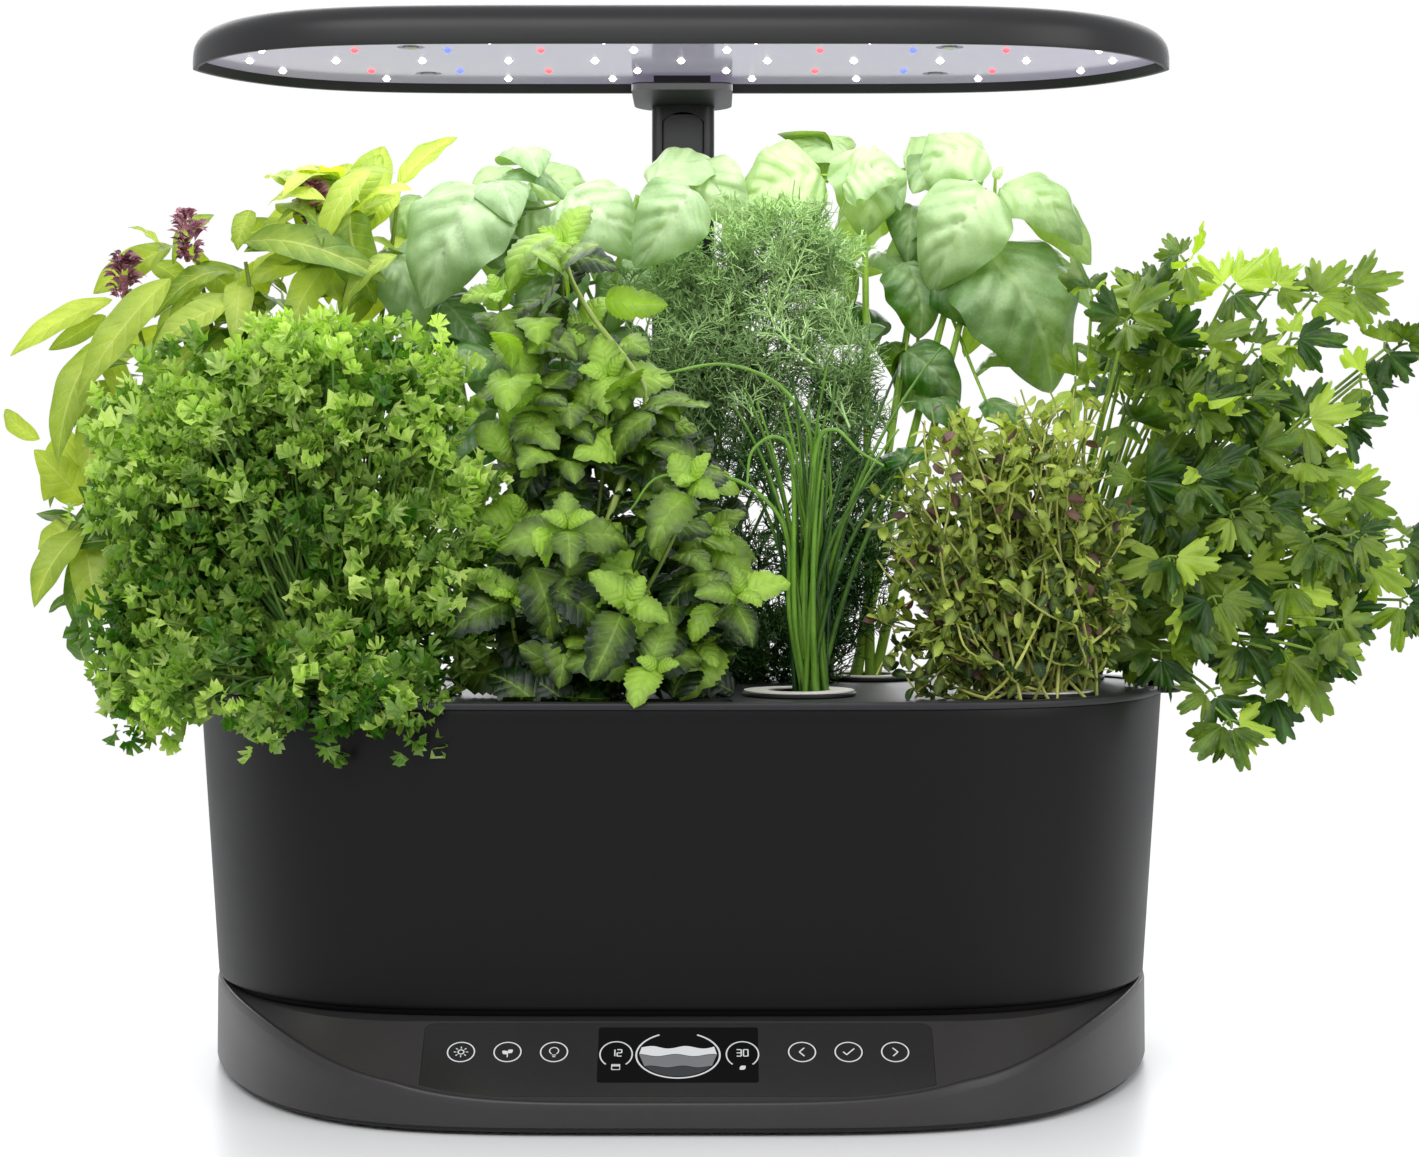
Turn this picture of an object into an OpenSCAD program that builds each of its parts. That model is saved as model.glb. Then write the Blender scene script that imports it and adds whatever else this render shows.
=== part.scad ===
// Countertop hydroponic garden: a water bowl on a base with a sloping control
// panel, a deck with nine grow baskets, and a lamp on a telescoping mast.
// Millimetres. X runs to the right, Y to the back and Z up. The origin is on
// the resting plane, under the bowl.

/* [Plan outlines] */
// Y of the widest line of the base
base_wide_y = 20; // [14:1:24]
// Half of the base's width
base_half_w = 206; // [205:0.5:212]
// Y of the base's front edge
base_front = -152; // [-156:1:-149]
// Y of the base's back edge
base_back = 136; // [135:1:142]
// Y of the widest line of the bowl
bowl_wide_y = 5; // [0:1:10]
// How far the bowl's foot stands in from the base's ends
bowl_side_in = 3; // [3:0.5:8]
// Y of the bowl's front where it meets the base
bowl_front = -104; // [-105:1:-100]
// Y of the bowl's back where it meets the base
bowl_back = 94; // [92:1:95]
// How far the bowl's ends flare from foot to rim
bowl_flare_ends = 8; // [4:0.5:10]
// How far the bowl's front flares from foot to rim
bowl_flare_front = 14.5; // [10:0.5:15]
// How far the bowl's back flares from foot to rim
bowl_flare_back = 8; // [3:0.5:8]

/* [Base] */
// Height of the seam between the bottom tray and the base shell
tray_seam_z = 3.4; // [3:0.2:5]
// Height of the base's top edge at the ends and the back
skirt_end_z = 40; // [39:0.5:41]
// Slope of the control panel, in degrees
panel_angle = 34.4; // [33:0.1:35]
// Y of the control panel's straight upper edge
ledge_y = -112; // [-114:1:-110]
// Half of the length of that straight edge
ledge_half_w = 106; // [104:1:110]
// Width of the lip between the panel and the skirt
lip_in = 3.4; // [3:0.1:4]
// How far the lip follows the panel's plane before it eases off
lip_run = 9.5; // [8:0.5:11]
// Length over which the lip eases up to the height of the ends
lip_ease = 39.5; // [36:0.5:44]
// Height of the ledge in front of the bowl
ledge_z = 38.5; // [38:0.5:39]
// Height of the lower edge of the bowl's wall
bowl_edge_z = 41; // [40.5:0.1:42]
// Depth of the well that takes the bowl's foot
well_depth = 4.5; // [4:0.5:5]
// Wall of the base shell
shell_wall = 2.5; // [2:0.1:3]
// Thickness of the bottom tray's floor
tray_floor = 2.2; // [1.8:0.1:2.2]
// Radius of a rubber foot
foot_r = 9; // [6:0.5:12]

/* [Control panel] */
// Width of the glossy panel overlay
overlay_w = 203; // [200:1:206]
// Length of the overlay up the slope
overlay_len = 40; // [38:0.5:42]
// Thickness of the overlay
overlay_t = 1; // [0.8:0.1:1.2]
// Width of the display window
window_w = 63.6; // [60:0.2:66]
// Height of the display window up the slope
window_len = 30.4; // [28:0.4:31.6]
// Distance from the slope's foot to the middle of the display
window_s = 25.6; // [24.8:0.1:26]
// Distance from the slope's foot to the middle of the keys
key_s = 27.1; // [25:0.1:29]
// Radius of a key
key_r = 5.7; // [5:0.1:6.4]
// Distance from the middle of the panel to the nearest key
key_first = 49.3; // [48:0.1:52]
// Distance between neighbouring keys
key_pitch = 18.5; // [17:0.1:19]
// Travel of a key
key_travel = 0.8; // [0.5:0.1:1]
// Gap round a key
key_gap = 0.25; // [0.2:0.05:0.4]

/* [Bowl] */
// Height of the bowl's rim
bowl_rim_z = 164; // [160:1:166]
// Wall of the bowl
bowl_wall = 2.4; // [2:0.1:3]
// Thickness of the bowl's floor
bowl_floor = 2.5; // [2:0.1:3]

/* [Grow deck] */
// Thickness of the deck's border
deck_t = 3; // [2.5:0.1:4]
// Depth of the tray inside the deck's border
deck_dish = 1; // [0.5:0.1:1.2]
// Depth of the locating rim under the deck
deck_rim_depth = 4.5; // [3:0.5:4.5]
// Half of the length of a finger tab
tab_half_len = 24; // [18:1:28]
// How far a finger tab stands out past the bowl
tab_reach = 7.5; // [5:0.5:8]
// Distance from the bowl's end to the last basket of the front row
front_end_in = 61; // [60:1:66]
// Y of the front row of baskets
front_row_y = -60; // [-62:1:-56]
// Distance from the bowl's end to the last basket of the back row
back_end_in = 43; // [43:1:46]
// Y of the back row of baskets
back_row_y = 50; // [46:1:51]
// Width of the fill port
port_w = 44; // [36:1:50]
// Depth of the fill port from front to back
port_len = 20; // [16:1:22]
// Y of the fill port's middle
port_y = -90; // [-92:1:-86]

/* [Grow baskets] */
// Radius of a basket just under its flange
basket_r = 20.8; // [19:0.1:21]
// Radius of a basket at its foot
basket_foot_r = 17; // [15:0.5:18]
// Radius of a basket's flange
basket_flange_r = 24; // [23:0.5:25]
// Depth of a basket below its flange
basket_depth = 60; // [50:1:64]
// Wall of a basket
basket_wall = 1.4; // [1:0.1:1.8]
// Thickness of a basket's flange
flange_t = 2; // [1.5:0.1:2.5]
// Radius of the hole in a basket's label
label_hole_r = 13; // [10:0.5:14]

/* [Water parts] */
// Distance of the pump and of the float from the bowl's ends
pump_end_in = 85; // [83:1:87]
// Radius of the pump
pump_r = 21; // [20:0.5:22]
// Height of the pump's housing
pump_h = 20; // [18:0.5:24]
// Radius of the pump's impeller
impeller_r = 10; // [8:0.5:11]
// Radius of the impeller's shaft
shaft_r = 1.2; // [1:0.05:1.5]
// Running clearance of the impeller on its shaft
shaft_play = 0.05; // [0.03:0.01:0.08]
// Outer radius of the riser tube
riser_r = 5; // [4:0.1:5.5]
// Outer radius of the float's cage
cage_r = 13; // [12:0.5:14]
// Height of the float's cage
cage_h = 62; // [50:1:66]
// Height of the float
float_h = 14; // [10:1:18]

/* [Mast] */
// Y of the mast's middle
mast_y = 115; // [114:0.5:116]
// Width of the outer sleeve
sleeve_w = 29.7; // [29:0.1:31]
// Depth of the outer sleeve
sleeve_d = 20; // [20:0.1:20.5]
// Wall of the outer sleeve
sleeve_wall = 2; // [1.8:0.1:2.2]
// Wall of the two inner stages
stage_wall = 1.8; // [1.5:0.1:1.9]
// Clearance all round between two stages
stage_gap = 0.3; // [0.25:0.05:0.35]
// Width of the arched slot in the sleeve's front
slot_w = 20; // [16:0.5:21]
// Height of the arch's crown below the sleeve's top
arch_drop = 3; // [2.5:0.1:6]

/* [Lamp hood] */
// Height of the hood's lower lip at the lowest stop
hood_z = 437; // [436:0.5:440]
// Height of the hood
hood_h = 18.5; // [15:0.5:20]
// Half of the hood's width
hood_half_w = 215; // [205:1:220]
// Half of the hood's depth
hood_half_d = 82; // [80:0.5:84]
// Y of the hood's middle
hood_y = 5.5; // [4:0.5:7]
// Wall of the hood
hood_wall = 2.6; // [2:0.1:3]
// How far the reflector is set up inside the lip
reflector_set = 4; // [3:0.5:5]
// Thickness of the reflector
reflector_t = 1.6; // [1.2:0.1:2]
// Radius of a lamp emitter
led_r = 1.6; // [1.2:0.1:2]
// Distance from the lamp's end to the last emitter of the middle row
mid_led_end_in = 25; // [24:1:40]
// Distance from the lamp's end to the last emitter of the coloured rows
side_led_end_in = 35; // [34:1:50]
// Distance of the coloured rows from the middle row
side_row = 33; // [28:1:34]
// Distance of the outer rows from the middle row
outer_row = 60; // [56:1:62]
// Width of the mast bracket
bracket_w = 46; // [42:1:50]
// Thickness of the mast bracket
bracket_t = 3.4; // [3:0.1:4]

/* [Plants] */
// Clear height between the lamp and the tallest foliage
foliage_clear = 19; // [17:1:60]
// Clear strip between the front and the back row of plants
row_gap = 8; // [6:1:12]
// Reach of the foliage to the left
reach_left = 311; // [260:1:320]
// Reach of the foliage to the right
reach_right = 331; // [260:1:340]
// Y of the front of the front row's foliage
foliage_front = -117; // [-125:1:-105]
// Reach of the curly parsley to the left
curly_reach = 250; // [230:1:260]
// Top of the curly parsley
curly_top = 320; // [300:1:330]
// Top of the mint
mint_top = 362; // [330:1:380]
// Top of the chives
chives_top = 308; // [280:1:320]
// Top of the thyme
thyme_top = 300; // [280:1:310]
// Height at which the left basil's leaves begin
basil_left_low = 215; // [200:1:240]
// Height at which the dill's threads begin
dill_low = 190; // [180:1:220]
// Height at which the right basil's leaves begin
basil_right_low = 280; // [240:1:300]
// Top of the flat parsley
flat_top = 362; // [340:1:380]
// Y of the front of the flat parsley
flat_front = -82; // [-90:1:-60]

/* [Hidden] */

// Facets of the round parts and points round each plan outline
$fn = 48;
ring_n = 80;
// A cut runs this far past the face that it opens
past = 1;

// Exponents of the plan outlines: along Y (p) and across X (q), and both at the back
base_p = 1.3;
base_q = 4.4;
bowl_p = 1.4;
bowl_q = 5;
hood_p = 1.3;
hood_q = 6;
back_pq = 3.5;

// Base heights
tray_bottom = tray_seam_z - tray_floor;
tray_lap = 3;
well_z = ledge_z - well_depth;
roof_z = well_z - 2.6;

// The panel's plane, from the lip's inner edge up to the ledge
panel_slope = tan(panel_angle);
panel_foot_y = base_front + lip_in;
panel_foot_z = ledge_z - panel_slope * (ledge_y - panel_foot_y);
panel_thick = shell_wall + 0.1;
panel_drop = panel_thick / cos(panel_angle);
lip_ease_power = 1.2;

// Keys and the parts under the panel
key_xs = [for (side = [-1, 1], i = side < 0 ? [2, 1, 0] : [0, 1, 2])
    side * (key_first + i * key_pitch)];
key_flange_top = panel_thick + 0.3;
key_depth = 5;
board_depth = 8;
board_w = overlay_w - 3;
board_len = overlay_len - 6;
board_t = 1.6;
lcd_depth = 4.5;

// Bowl
bowl_half_w = base_half_w - bowl_side_in;
bowl_rim_half_w = bowl_half_w + bowl_flare_ends;
foliage_top = hood_z - foliage_clear;
bowl_foot_in = 4;
foot_clear = 0.4;
floor_in_z = well_z + bowl_floor;
bowl_wide_z = (bowl_edge_z + bowl_rim_z) / 2;
deck_z = bowl_rim_z;
deck_top = deck_z + deck_t;
dish_z = deck_top - deck_dish;

// Pods: four in front and five behind, spread evenly between the outer ones
front_pitch = (bowl_rim_half_w - front_end_in) / 1.5;
back_pitch = (bowl_rim_half_w - back_end_in) / 2;
front_xs = [for (i = [-1.5, -0.5, 0.5, 1.5]) i * front_pitch];
back_xs = [for (i = [-2, -1, 0, 1, 2]) i * back_pitch];
pods = concat([for (x = front_xs) [x, front_row_y]], [for (x = back_xs) [x, back_row_y]]);
pod_gap = 0.6;
sponge_gap = 0.3;
sponge_z = dish_z - 1;
basket_floor_z = dish_z - basket_depth;
label_t = 0.5;

// Pump and float
pump_x = bowl_half_w - pump_end_in;
pump_y = -4;
pump_z = floor_in_z;
volute_r = impeller_r + 2.5;
outlet_x = pump_x + pump_r + 3;
cover_t = 2.5;
filter_t = 8;
socket_x = 60;
cage_wall = 1.5;
float_gap = 0.7;

// Mast
collar_top = ledge_z + 4;
stage_bottom = collar_top + 1;
sleeve_top = hood_z - bracket_t;
arch_z = sleeve_top - arch_drop;
middle_w = sleeve_w - 2 * (sleeve_wall + stage_gap);
middle_d = sleeve_d - 2 * (sleeve_wall + stage_gap);
inner_w = middle_w - 2 * (stage_wall + stage_gap);
inner_d = middle_d - 2 * (stage_wall + stage_gap);
middle_top = arch_z - 1;
inner_top = middle_top - 6;

// Lamp
reflector_z = hood_z + reflector_set;
led_board_z = reflector_z + reflector_t + 0.3;
led_board_t = 1.6;
mid_led_pitch = (hood_half_w - mid_led_end_in) / 5;
side_led_pitch = (hood_half_w - side_led_end_in) / 4.5;
hood_screw_x = 115;
hood_screw_dy = 42;

// ---- Outlines and lofts -------------------------------------------------

function signed_pow(v, e) = sign(v) * pow(abs(v), e);

// A point of a plan outline at angle t round the line y = wide: a superellipse
// with its own exponents in front of that line, and another behind it.
function plan_point(half_w, wide, front_y, back_y, p, q, t) =
    let (u = abs(cos(t)))
    sin(t) < 0
        ? [half_w * cos(t), wide - (wide - front_y) * pow(max(0, 1 - pow(u, q)), 1 / p)]
        : [half_w * cos(t), wide + (back_y - wide) * pow(max(0, 1 - pow(u, back_pq)), 1 / back_pq)];

function ring_angle(i) = 360 * i / ring_n;

// The base's plan point, drawn in by inset
function base_point(inset, t) =
    plan_point(base_half_w - inset, base_wide_y, base_front + inset, base_back - inset,
        base_p, base_q, t);

function base_outline(inset) = [for (i = [0 : ring_n - 1]) base_point(inset, ring_angle(i))];

// How far up its flare the bowl is at height z, from 0 at its edge to 1 at the rim
function flare(z) = max(0, (z - bowl_edge_z) / (bowl_rim_z - bowl_edge_z));

// The bowl's plan point at height z, drawn in by inset
function bowl_point(z, inset, t) =
    plan_point(
        bowl_half_w + bowl_flare_ends * flare(z) - inset,
        bowl_wide_y,
        bowl_front - bowl_flare_front * flare(z) + inset,
        bowl_back + bowl_flare_back * flare(z) - inset,
        bowl_p, bowl_q, t);

function bowl_outline(z, inset) = [for (i = [0 : ring_n - 1]) bowl_point(z, inset, ring_angle(i))];

function bowl_ring(z, inset) = [for (p = bowl_outline(z, inset)) [p[0], p[1], z]];

function hood_outline(inset) = [for (i = [0 : ring_n - 1])
    let (t = ring_angle(i))
    [(hood_half_w - inset) * cos(t),
     hood_y + sign(sin(t)) * (hood_half_d - inset)
        * pow(max(0, 1 - pow(abs(cos(t)), hood_q)), 1 / hood_p)]];

function hood_ring(z, inset) = [for (p = hood_outline(inset)) [p[0], p[1], z]];

// A closed solid through rings of equal point counts, from the lowest up
module loft(rings) {
    n = len(rings[0]);
    last = len(rings) - 1;
    sides = [for (r = [0 : last - 1], j = [0 : n - 1])
        let (a = r * n + j, b = r * n + (j + 1) % n, c = b + n, d = a + n)
        each [[a, d, c], [a, c, b]]];
    bottom = [for (j = [0 : n - 1]) j];
    top = [for (j = [n - 1 : -1 : 0]) last * n + j];
    polyhedron(points = [for (r = rings) each r], faces = concat([bottom], sides, [top]));
}

// A tube's rectangular section with rounded corners
module rounded_rect(w, d, r) {
    square([w - 2 * r, d], center = true);
    square([w, d - 2 * r], center = true);
    for (x = [-1, 1], y = [-1, 1])
        translate([x * (w / 2 - r), y * (d / 2 - r)]) circle(r = r, $fn = 24);
}

// ---- Base ---------------------------------------------------------------

// Height of the lip at a given Y of its inner edge: in the panel's plane first,
// then easing up to the height of the ends.
function lip_top(y) =
    let (
        d = y - panel_foot_y,
        run_z = panel_foot_z + panel_slope * lip_run
    )
    d <= lip_run
        ? panel_foot_z + panel_slope * d
        : skirt_end_z - (skirt_end_z - run_z) * exp(-pow((d - lip_run) / lip_ease, lip_ease_power));

// A ring of the skirt: fall is how far it lies below the lip at the same angle
function skirt_ring(inset, fall, from) = [for (i = [0 : ring_n - 1])
    let (t = ring_angle(i), p = base_point(inset, t))
    [p[0], p[1], lip_top(base_point(from, t)[1]) - fall]];

// Share of the straight upper edge in the ledge's line at x, from 1 to 0
function straight(x) =
    let (u = min(1, max(0, (abs(x) - ledge_half_w) / 70)))
    1 - u * u * (3 - 2 * u);

// The line of the ledge: the bowl's outline, pulled forward to a straight edge
// in the middle of the front.
function ledge_line(inset, front_y) = [for (i = [0 : ring_n - 1])
    let (
        t = ring_angle(i),
        p = bowl_point(bowl_edge_z, inset, t),
        w = sin(t) < 0 ? straight(p[0]) : 0
    )
    [p[0], p[1] + (front_y - p[1]) * w]];

function flat_ring(outline, z) = [for (p = outline) [p[0], p[1], z]];

module base_outer() {
    loft([
        flat_ring(base_outline(0.9), tray_seam_z),
        flat_ring(base_outline(0), tray_seam_z + 1),
        skirt_ring(0.5, 2.2, lip_in),
        skirt_ring(1, 0.4, lip_in),
        skirt_ring(1.8, -0.2, lip_in),
        skirt_ring(2.6, -0.1, lip_in),
        skirt_ring(lip_in, 0, lip_in),
        flat_ring(ledge_line(-0.15, ledge_y), ledge_z),
        flat_ring(bowl_outline(bowl_edge_z, 1), ledge_z)
    ]);
}

// The hollow under the shell: its roof runs parallel to the panel, then level
// under the bowl's well.
module base_hollow() {
    inner = shell_wall + 1;
    roof_y = ledge_y - (ledge_z - panel_drop - roof_z) / panel_slope;
    loft([
        flat_ring(base_outline(inner), tray_seam_z - past),
        flat_ring(base_outline(inner), tray_seam_z + past),
        skirt_ring(inner + 0.4, panel_drop, inner + 0.4),
        flat_ring(ledge_line(3, roof_y), roof_z)
    ]);
}

// Puts children on the panel at x and s up the slope, with Z along its normal
module on_panel(x, s) {
    translate([x, panel_foot_y, panel_foot_z])
        rotate([panel_angle, 0, 0])
            translate([0, s, 0]) children();
}

// A plate let into the panel: d is how deep its lower face lies
module panel_plate(w, len, d, t, r) {
    translate([0, 0, -d]) linear_extrude(t) rounded_rect(w, len, r);
}

boss_side_in = 48;
boss_spots = concat(
    [for (x = [-1, 1], y = [base_front + 86, base_back - 74]) [x * (base_half_w - boss_side_in), y]],
    [for (x = [-1, 1]) [x * 60, base_front + 68]],
    [for (x = [-1, 1]) [x * 40, base_back - 24]]);
boss_r = 4;
screw_r = 1.5;
boss_z = tray_seam_z + tray_lap;

module base_shell() {
    color([0.17, 0.165, 0.165])
    difference() {
        union() {
            difference() {
                base_outer();
                base_hollow();
            }
            for (b = boss_spots)
                translate([b[0], b[1], boss_z]) cylinder(r = boss_r, h = ledge_z - 1 - boss_z);
            // Posts that carry the control board under the panel
            for (x = [-1, 1], s = [12, 38]) on_panel(x * 95, s)
                translate([0, 0, -board_depth]) cylinder(r = 2, h = board_depth - 1.2, $fn = 24);
            // Collar that the mast's sleeve comes down to
            translate([0, mast_y, ledge_z - 3]) linear_extrude(collar_top - ledge_z + 3)
                rounded_rect(sleeve_w, sleeve_d, 5);
        }
        // Well for the bowl's foot
        translate([0, 0, well_z]) linear_extrude(ledge_z)
            polygon(bowl_outline(bowl_edge_z, bowl_foot_in - foot_clear));
        // Recess for the overlay, and the openings for the display and the keys
        overlay_form(0.15, 3);
        on_panel(0, window_s)
            panel_plate(window_w + 4.5, window_len + 4.5, 6, 8, 1.5);
        for (x = key_xs) on_panel(x, key_s)
            translate([0, 0, -6]) cylinder(r = key_r + key_gap, h = 8);
        // Passage of the mast's inner tube
        translate([0, mast_y, tray_seam_z]) linear_extrude(collar_top)
            rounded_rect(inner_w + 0.4, inner_d + 0.4, 3);
        for (b = boss_spots)
            translate([b[0], b[1], boss_z - past]) cylinder(r = screw_r, h = 11 + past, $fn = 24);
        // Opening for the power inlet in the back
        translate([jack_x, base_back - 20, jack_z]) rotate([-90, 0, 0])
            cylinder(r = jack_r + 0.2, h = 30);
        // Opening for the plug that feeds the pump
        translate([socket_x, pump_y, roof_z - past])
            cylinder(r = plug_r + 0.1, h = well_z - roof_z + 2 * past);
    }
}

module base_tray() {
    color([0.10, 0.10, 0.10])
    difference() {
        union() {
            loft([
                flat_ring(base_outline(4), tray_bottom),
                flat_ring(base_outline(2.2), tray_bottom + 0.4),
                flat_ring(base_outline(1.4), tray_bottom + 1.2),
                flat_ring(base_outline(1.2), tray_seam_z)
            ]);
            // Rim that locates the tray inside the shell
            translate([0, 0, tray_seam_z - 0.5]) linear_extrude(tray_lap + 0.5)
                difference() {
                    polygon(base_outline(shell_wall + 1.8));
                    polygon(base_outline(shell_wall + 3.6));
                }
            for (b = boss_spots)
                translate([b[0], b[1], tray_seam_z - 0.5]) cylinder(r = boss_r, h = tray_lap + 0.5);
            // Frame round the foot of the mast
            translate([0, mast_y, tray_seam_z - 0.5]) linear_extrude(3.5)
                difference() {
                    rounded_rect(mast_foot_w + 4, mast_foot_d + 4, 3);
                    rounded_rect(mast_foot_w + 0.6, mast_foot_d + 0.6, 1.5);
                }
        }
        for (b = boss_spots) {
            translate([b[0], b[1], tray_bottom - past])
                cylinder(r = screw_r + 0.2, h = tray_seam_z + tray_lap, $fn = 24);
            translate([b[0], b[1], tray_bottom - past]) cylinder(r = 3.2, h = 3.4 + past, $fn = 24);
        }
        // Air slots in the floor under the electronics
        for (i = [-5 : 5])
            translate([i * 9, -46, tray_bottom - past]) linear_extrude(tray_floor + 2 * past)
                rounded_rect(3, 34, 1.4);
    }
}

// How far the feet stand in from the base's sides and from its back and front
back_foot_in = [56, 44];
front_foot_in = [78, 52];
foot_spots = concat([[0, 0]], [for (x = [-1, 1]) each [
    [x * (base_half_w - back_foot_in[0]), base_back - back_foot_in[1]],
    [x * (base_half_w - front_foot_in[0]), base_front + front_foot_in[1]]]]);

module rubber_feet() {
    color([0.07, 0.07, 0.07])
    for (f = foot_spots) translate([f[0], f[1], 0]) rotate_extrude()
        polygon([[0, 0], [foot_r - 0.5, 0], [foot_r, 0.5], [foot_r, tray_bottom], [0, tray_bottom]]);
}

module base_screws() {
    color([0.6, 0.6, 0.62])
    for (b = boss_spots) translate([b[0], b[1], tray_bottom + 1.8]) {
        cylinder(r = 3, h = 1.6, $fn = 24);
        cylinder(r = screw_r - 0.05, h = 12, $fn = 24);
    }
}

// The overlay's form: a plate in the panel's plane whose lower edge follows the
// lip. grow widens it all round and over is how far it stands above the plane.
module overlay_form(grow, over) {
    intersection() {
        on_panel(0, overlay_s)
            panel_plate(overlay_w + 2 * grow, overlay_len + 2 * grow, overlay_t,
                overlay_t + over, 4);
        linear_extrude(2 * ledge_z) polygon(base_outline(lip_in + 1.2 - grow));
    }
}

module control_overlay() {
    color([0.09, 0.09, 0.09])
    difference() {
        overlay_form(0, 0);
        on_panel(0, window_s) panel_plate(window_w + 0.2, window_len + 0.2, 2, 4, 1.2);
        for (x = key_xs) on_panel(x, key_s)
            translate([0, 0, -3]) cylinder(r = key_r + key_gap, h = 6);
    }
}

overlay_s = window_s + (window_len - overlay_len) / 2 + 2.2;

module display_window() {
    color([0.02, 0.02, 0.02])
    on_panel(0, window_s) panel_plate(window_w, window_len, overlay_t, overlay_t, 1.2);
}

module lcd_module() {
    color([0.12, 0.35, 0.2])
    on_panel(0, window_s) {
        panel_plate(window_w + 4, window_len + 4, lcd_depth, lcd_depth - overlay_t, 1.2);
        // Pin header that joins the module to the board behind it
        translate([0, window_len / 2 - 2, -board_depth]) linear_extrude(board_depth - lcd_depth + 0.5)
            square([40, 2.5], center = true);
    }
}

// A key: its cap fills the hole and a flange under the panel keeps it in
module panel_key(i) {
    color([0.1, 0.1, 0.1])
    on_panel(key_xs[i], key_s) rotate_extrude()
        polygon([
            [0, -key_depth], [key_r + 1.4, -key_depth], [key_r + 1.4, -key_flange_top],
            [key_r, -key_flange_top], [key_r, -0.35], [key_r - 0.35, 0], [0, 0]
        ]);
}

// The board with its dome switches, one under each key
module control_board() {
    color([0.05, 0.3, 0.15]) {
        on_panel(0, window_s - 1.6) panel_plate(board_w, board_len, board_depth + board_t, board_t, 2);
        for (x = key_xs) on_panel(x, key_s)
            translate([0, 0, -board_depth]) {
                translate([-3, -3, -0.2]) cube([6, 6, 1.4]);
                cylinder(r = 1.8, h = board_depth - key_depth - key_travel - 0.05, $fn = 24);
            }
    }
}

jack_x = -70;
jack_z = 22;
jack_r = 7.5;
jack_face_y = base_back - 3;
inlet_r = 5.6;
inlet_depth = 8;

module power_jack() {
    color([0.08, 0.08, 0.08])
    difference() {
        union() {
            translate([jack_x, jack_face_y - 18, jack_z]) rotate([-90, 0, 0])
                cylinder(r = jack_r, h = 18);
            translate([jack_x - jack_r, jack_face_y - 18, tray_seam_z])
                cube([2 * jack_r, 12, jack_z - tray_seam_z]);
        }
        translate([jack_x, jack_face_y - inlet_depth, jack_z]) rotate([-90, 0, 0])
            cylinder(r = inlet_r, h = inlet_depth + past);
        // Round the contact pin
        translate([jack_x, jack_face_y - 16, jack_z]) rotate([-90, 0, 0]) difference() {
            cylinder(r = 2.8, h = 9);
            cylinder(r = 1, h = 7.5, $fn = 24);
        }
    }
}

// Switch board under the float, stuck to the roof of the base
module level_sensor() {
    color([0.05, 0.3, 0.15])
    translate([-pump_x, pump_y, roof_z - 1.6]) {
        translate([-12, -7, 0]) cube([24, 14, 1.6]);
        translate([-7, -1.2, -2.4]) cube([14, 2.4, 2.6]);
    }
}

plug_r = 7;
pin_dx = 4;
plug_pin_r = 1.2;

module bowl_plug() {
    color([0.75, 0.6, 0.3])
    translate([socket_x, pump_y, 0]) {
        translate([0, 0, roof_z]) cylinder(r = plug_r, h = well_z - roof_z);
        translate([0, 0, roof_z - 2]) cylinder(r = plug_r + 2.5, h = 2);
        for (x = [-1, 1]) translate([x * pin_dx, 0, well_z - 0.5])
            cylinder(r = plug_pin_r, h = 4.9, $fn = 24);
    }
}

// ---- Bowl and water parts -----------------------------------------------

module bowl() {
    color([0.16, 0.16, 0.16])
    difference() {
        // Outer form: the foot, the step that covers the ledge, and the flared wall
        loft([
            bowl_ring(well_z, bowl_foot_in + 0.6),
            bowl_ring(well_z + 0.8, bowl_foot_in),
            bowl_ring(bowl_edge_z + 0.2, bowl_foot_in),
            bowl_ring(bowl_edge_z, 1),
            bowl_ring(bowl_edge_z + 1, 0.1),
            bowl_ring(bowl_wide_z, 0),
            bowl_ring(bowl_rim_z - 6, 0),
            bowl_ring(bowl_rim_z, 0)
        ]);
        loft([
            bowl_ring(floor_in_z, bowl_foot_in + bowl_wall + 5),
            bowl_ring(floor_in_z + 1.8, bowl_foot_in + bowl_wall + 1.2),
            bowl_ring(floor_in_z + 7, bowl_foot_in + bowl_wall - 1.6),
            bowl_ring(floor_in_z + 16, bowl_wall),
            bowl_ring(bowl_rim_z + past, bowl_wall)
        ]);
        translate([socket_x, pump_y, well_z - past])
            cylinder(r = socket_r + 0.1, h = bowl_floor + 2 * past);
    }
}

socket_r = 9;

// Sealed socket in the bowl's floor that meets the plug on the base
module bowl_socket() {
    color([0.12, 0.12, 0.12])
    translate([socket_x, pump_y, 0]) difference() {
        union() {
            translate([0, 0, well_z + 0.3]) cylinder(r = socket_r, h = bowl_floor);
            translate([0, 0, floor_in_z]) cylinder(r = socket_r + 3, h = 5);
        }
        for (x = [-1, 1]) translate([x * pin_dx, 0, well_z - past])
            cylinder(r = plug_pin_r + 0.4, h = 6 + past, $fn = 24);
    }
}

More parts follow.
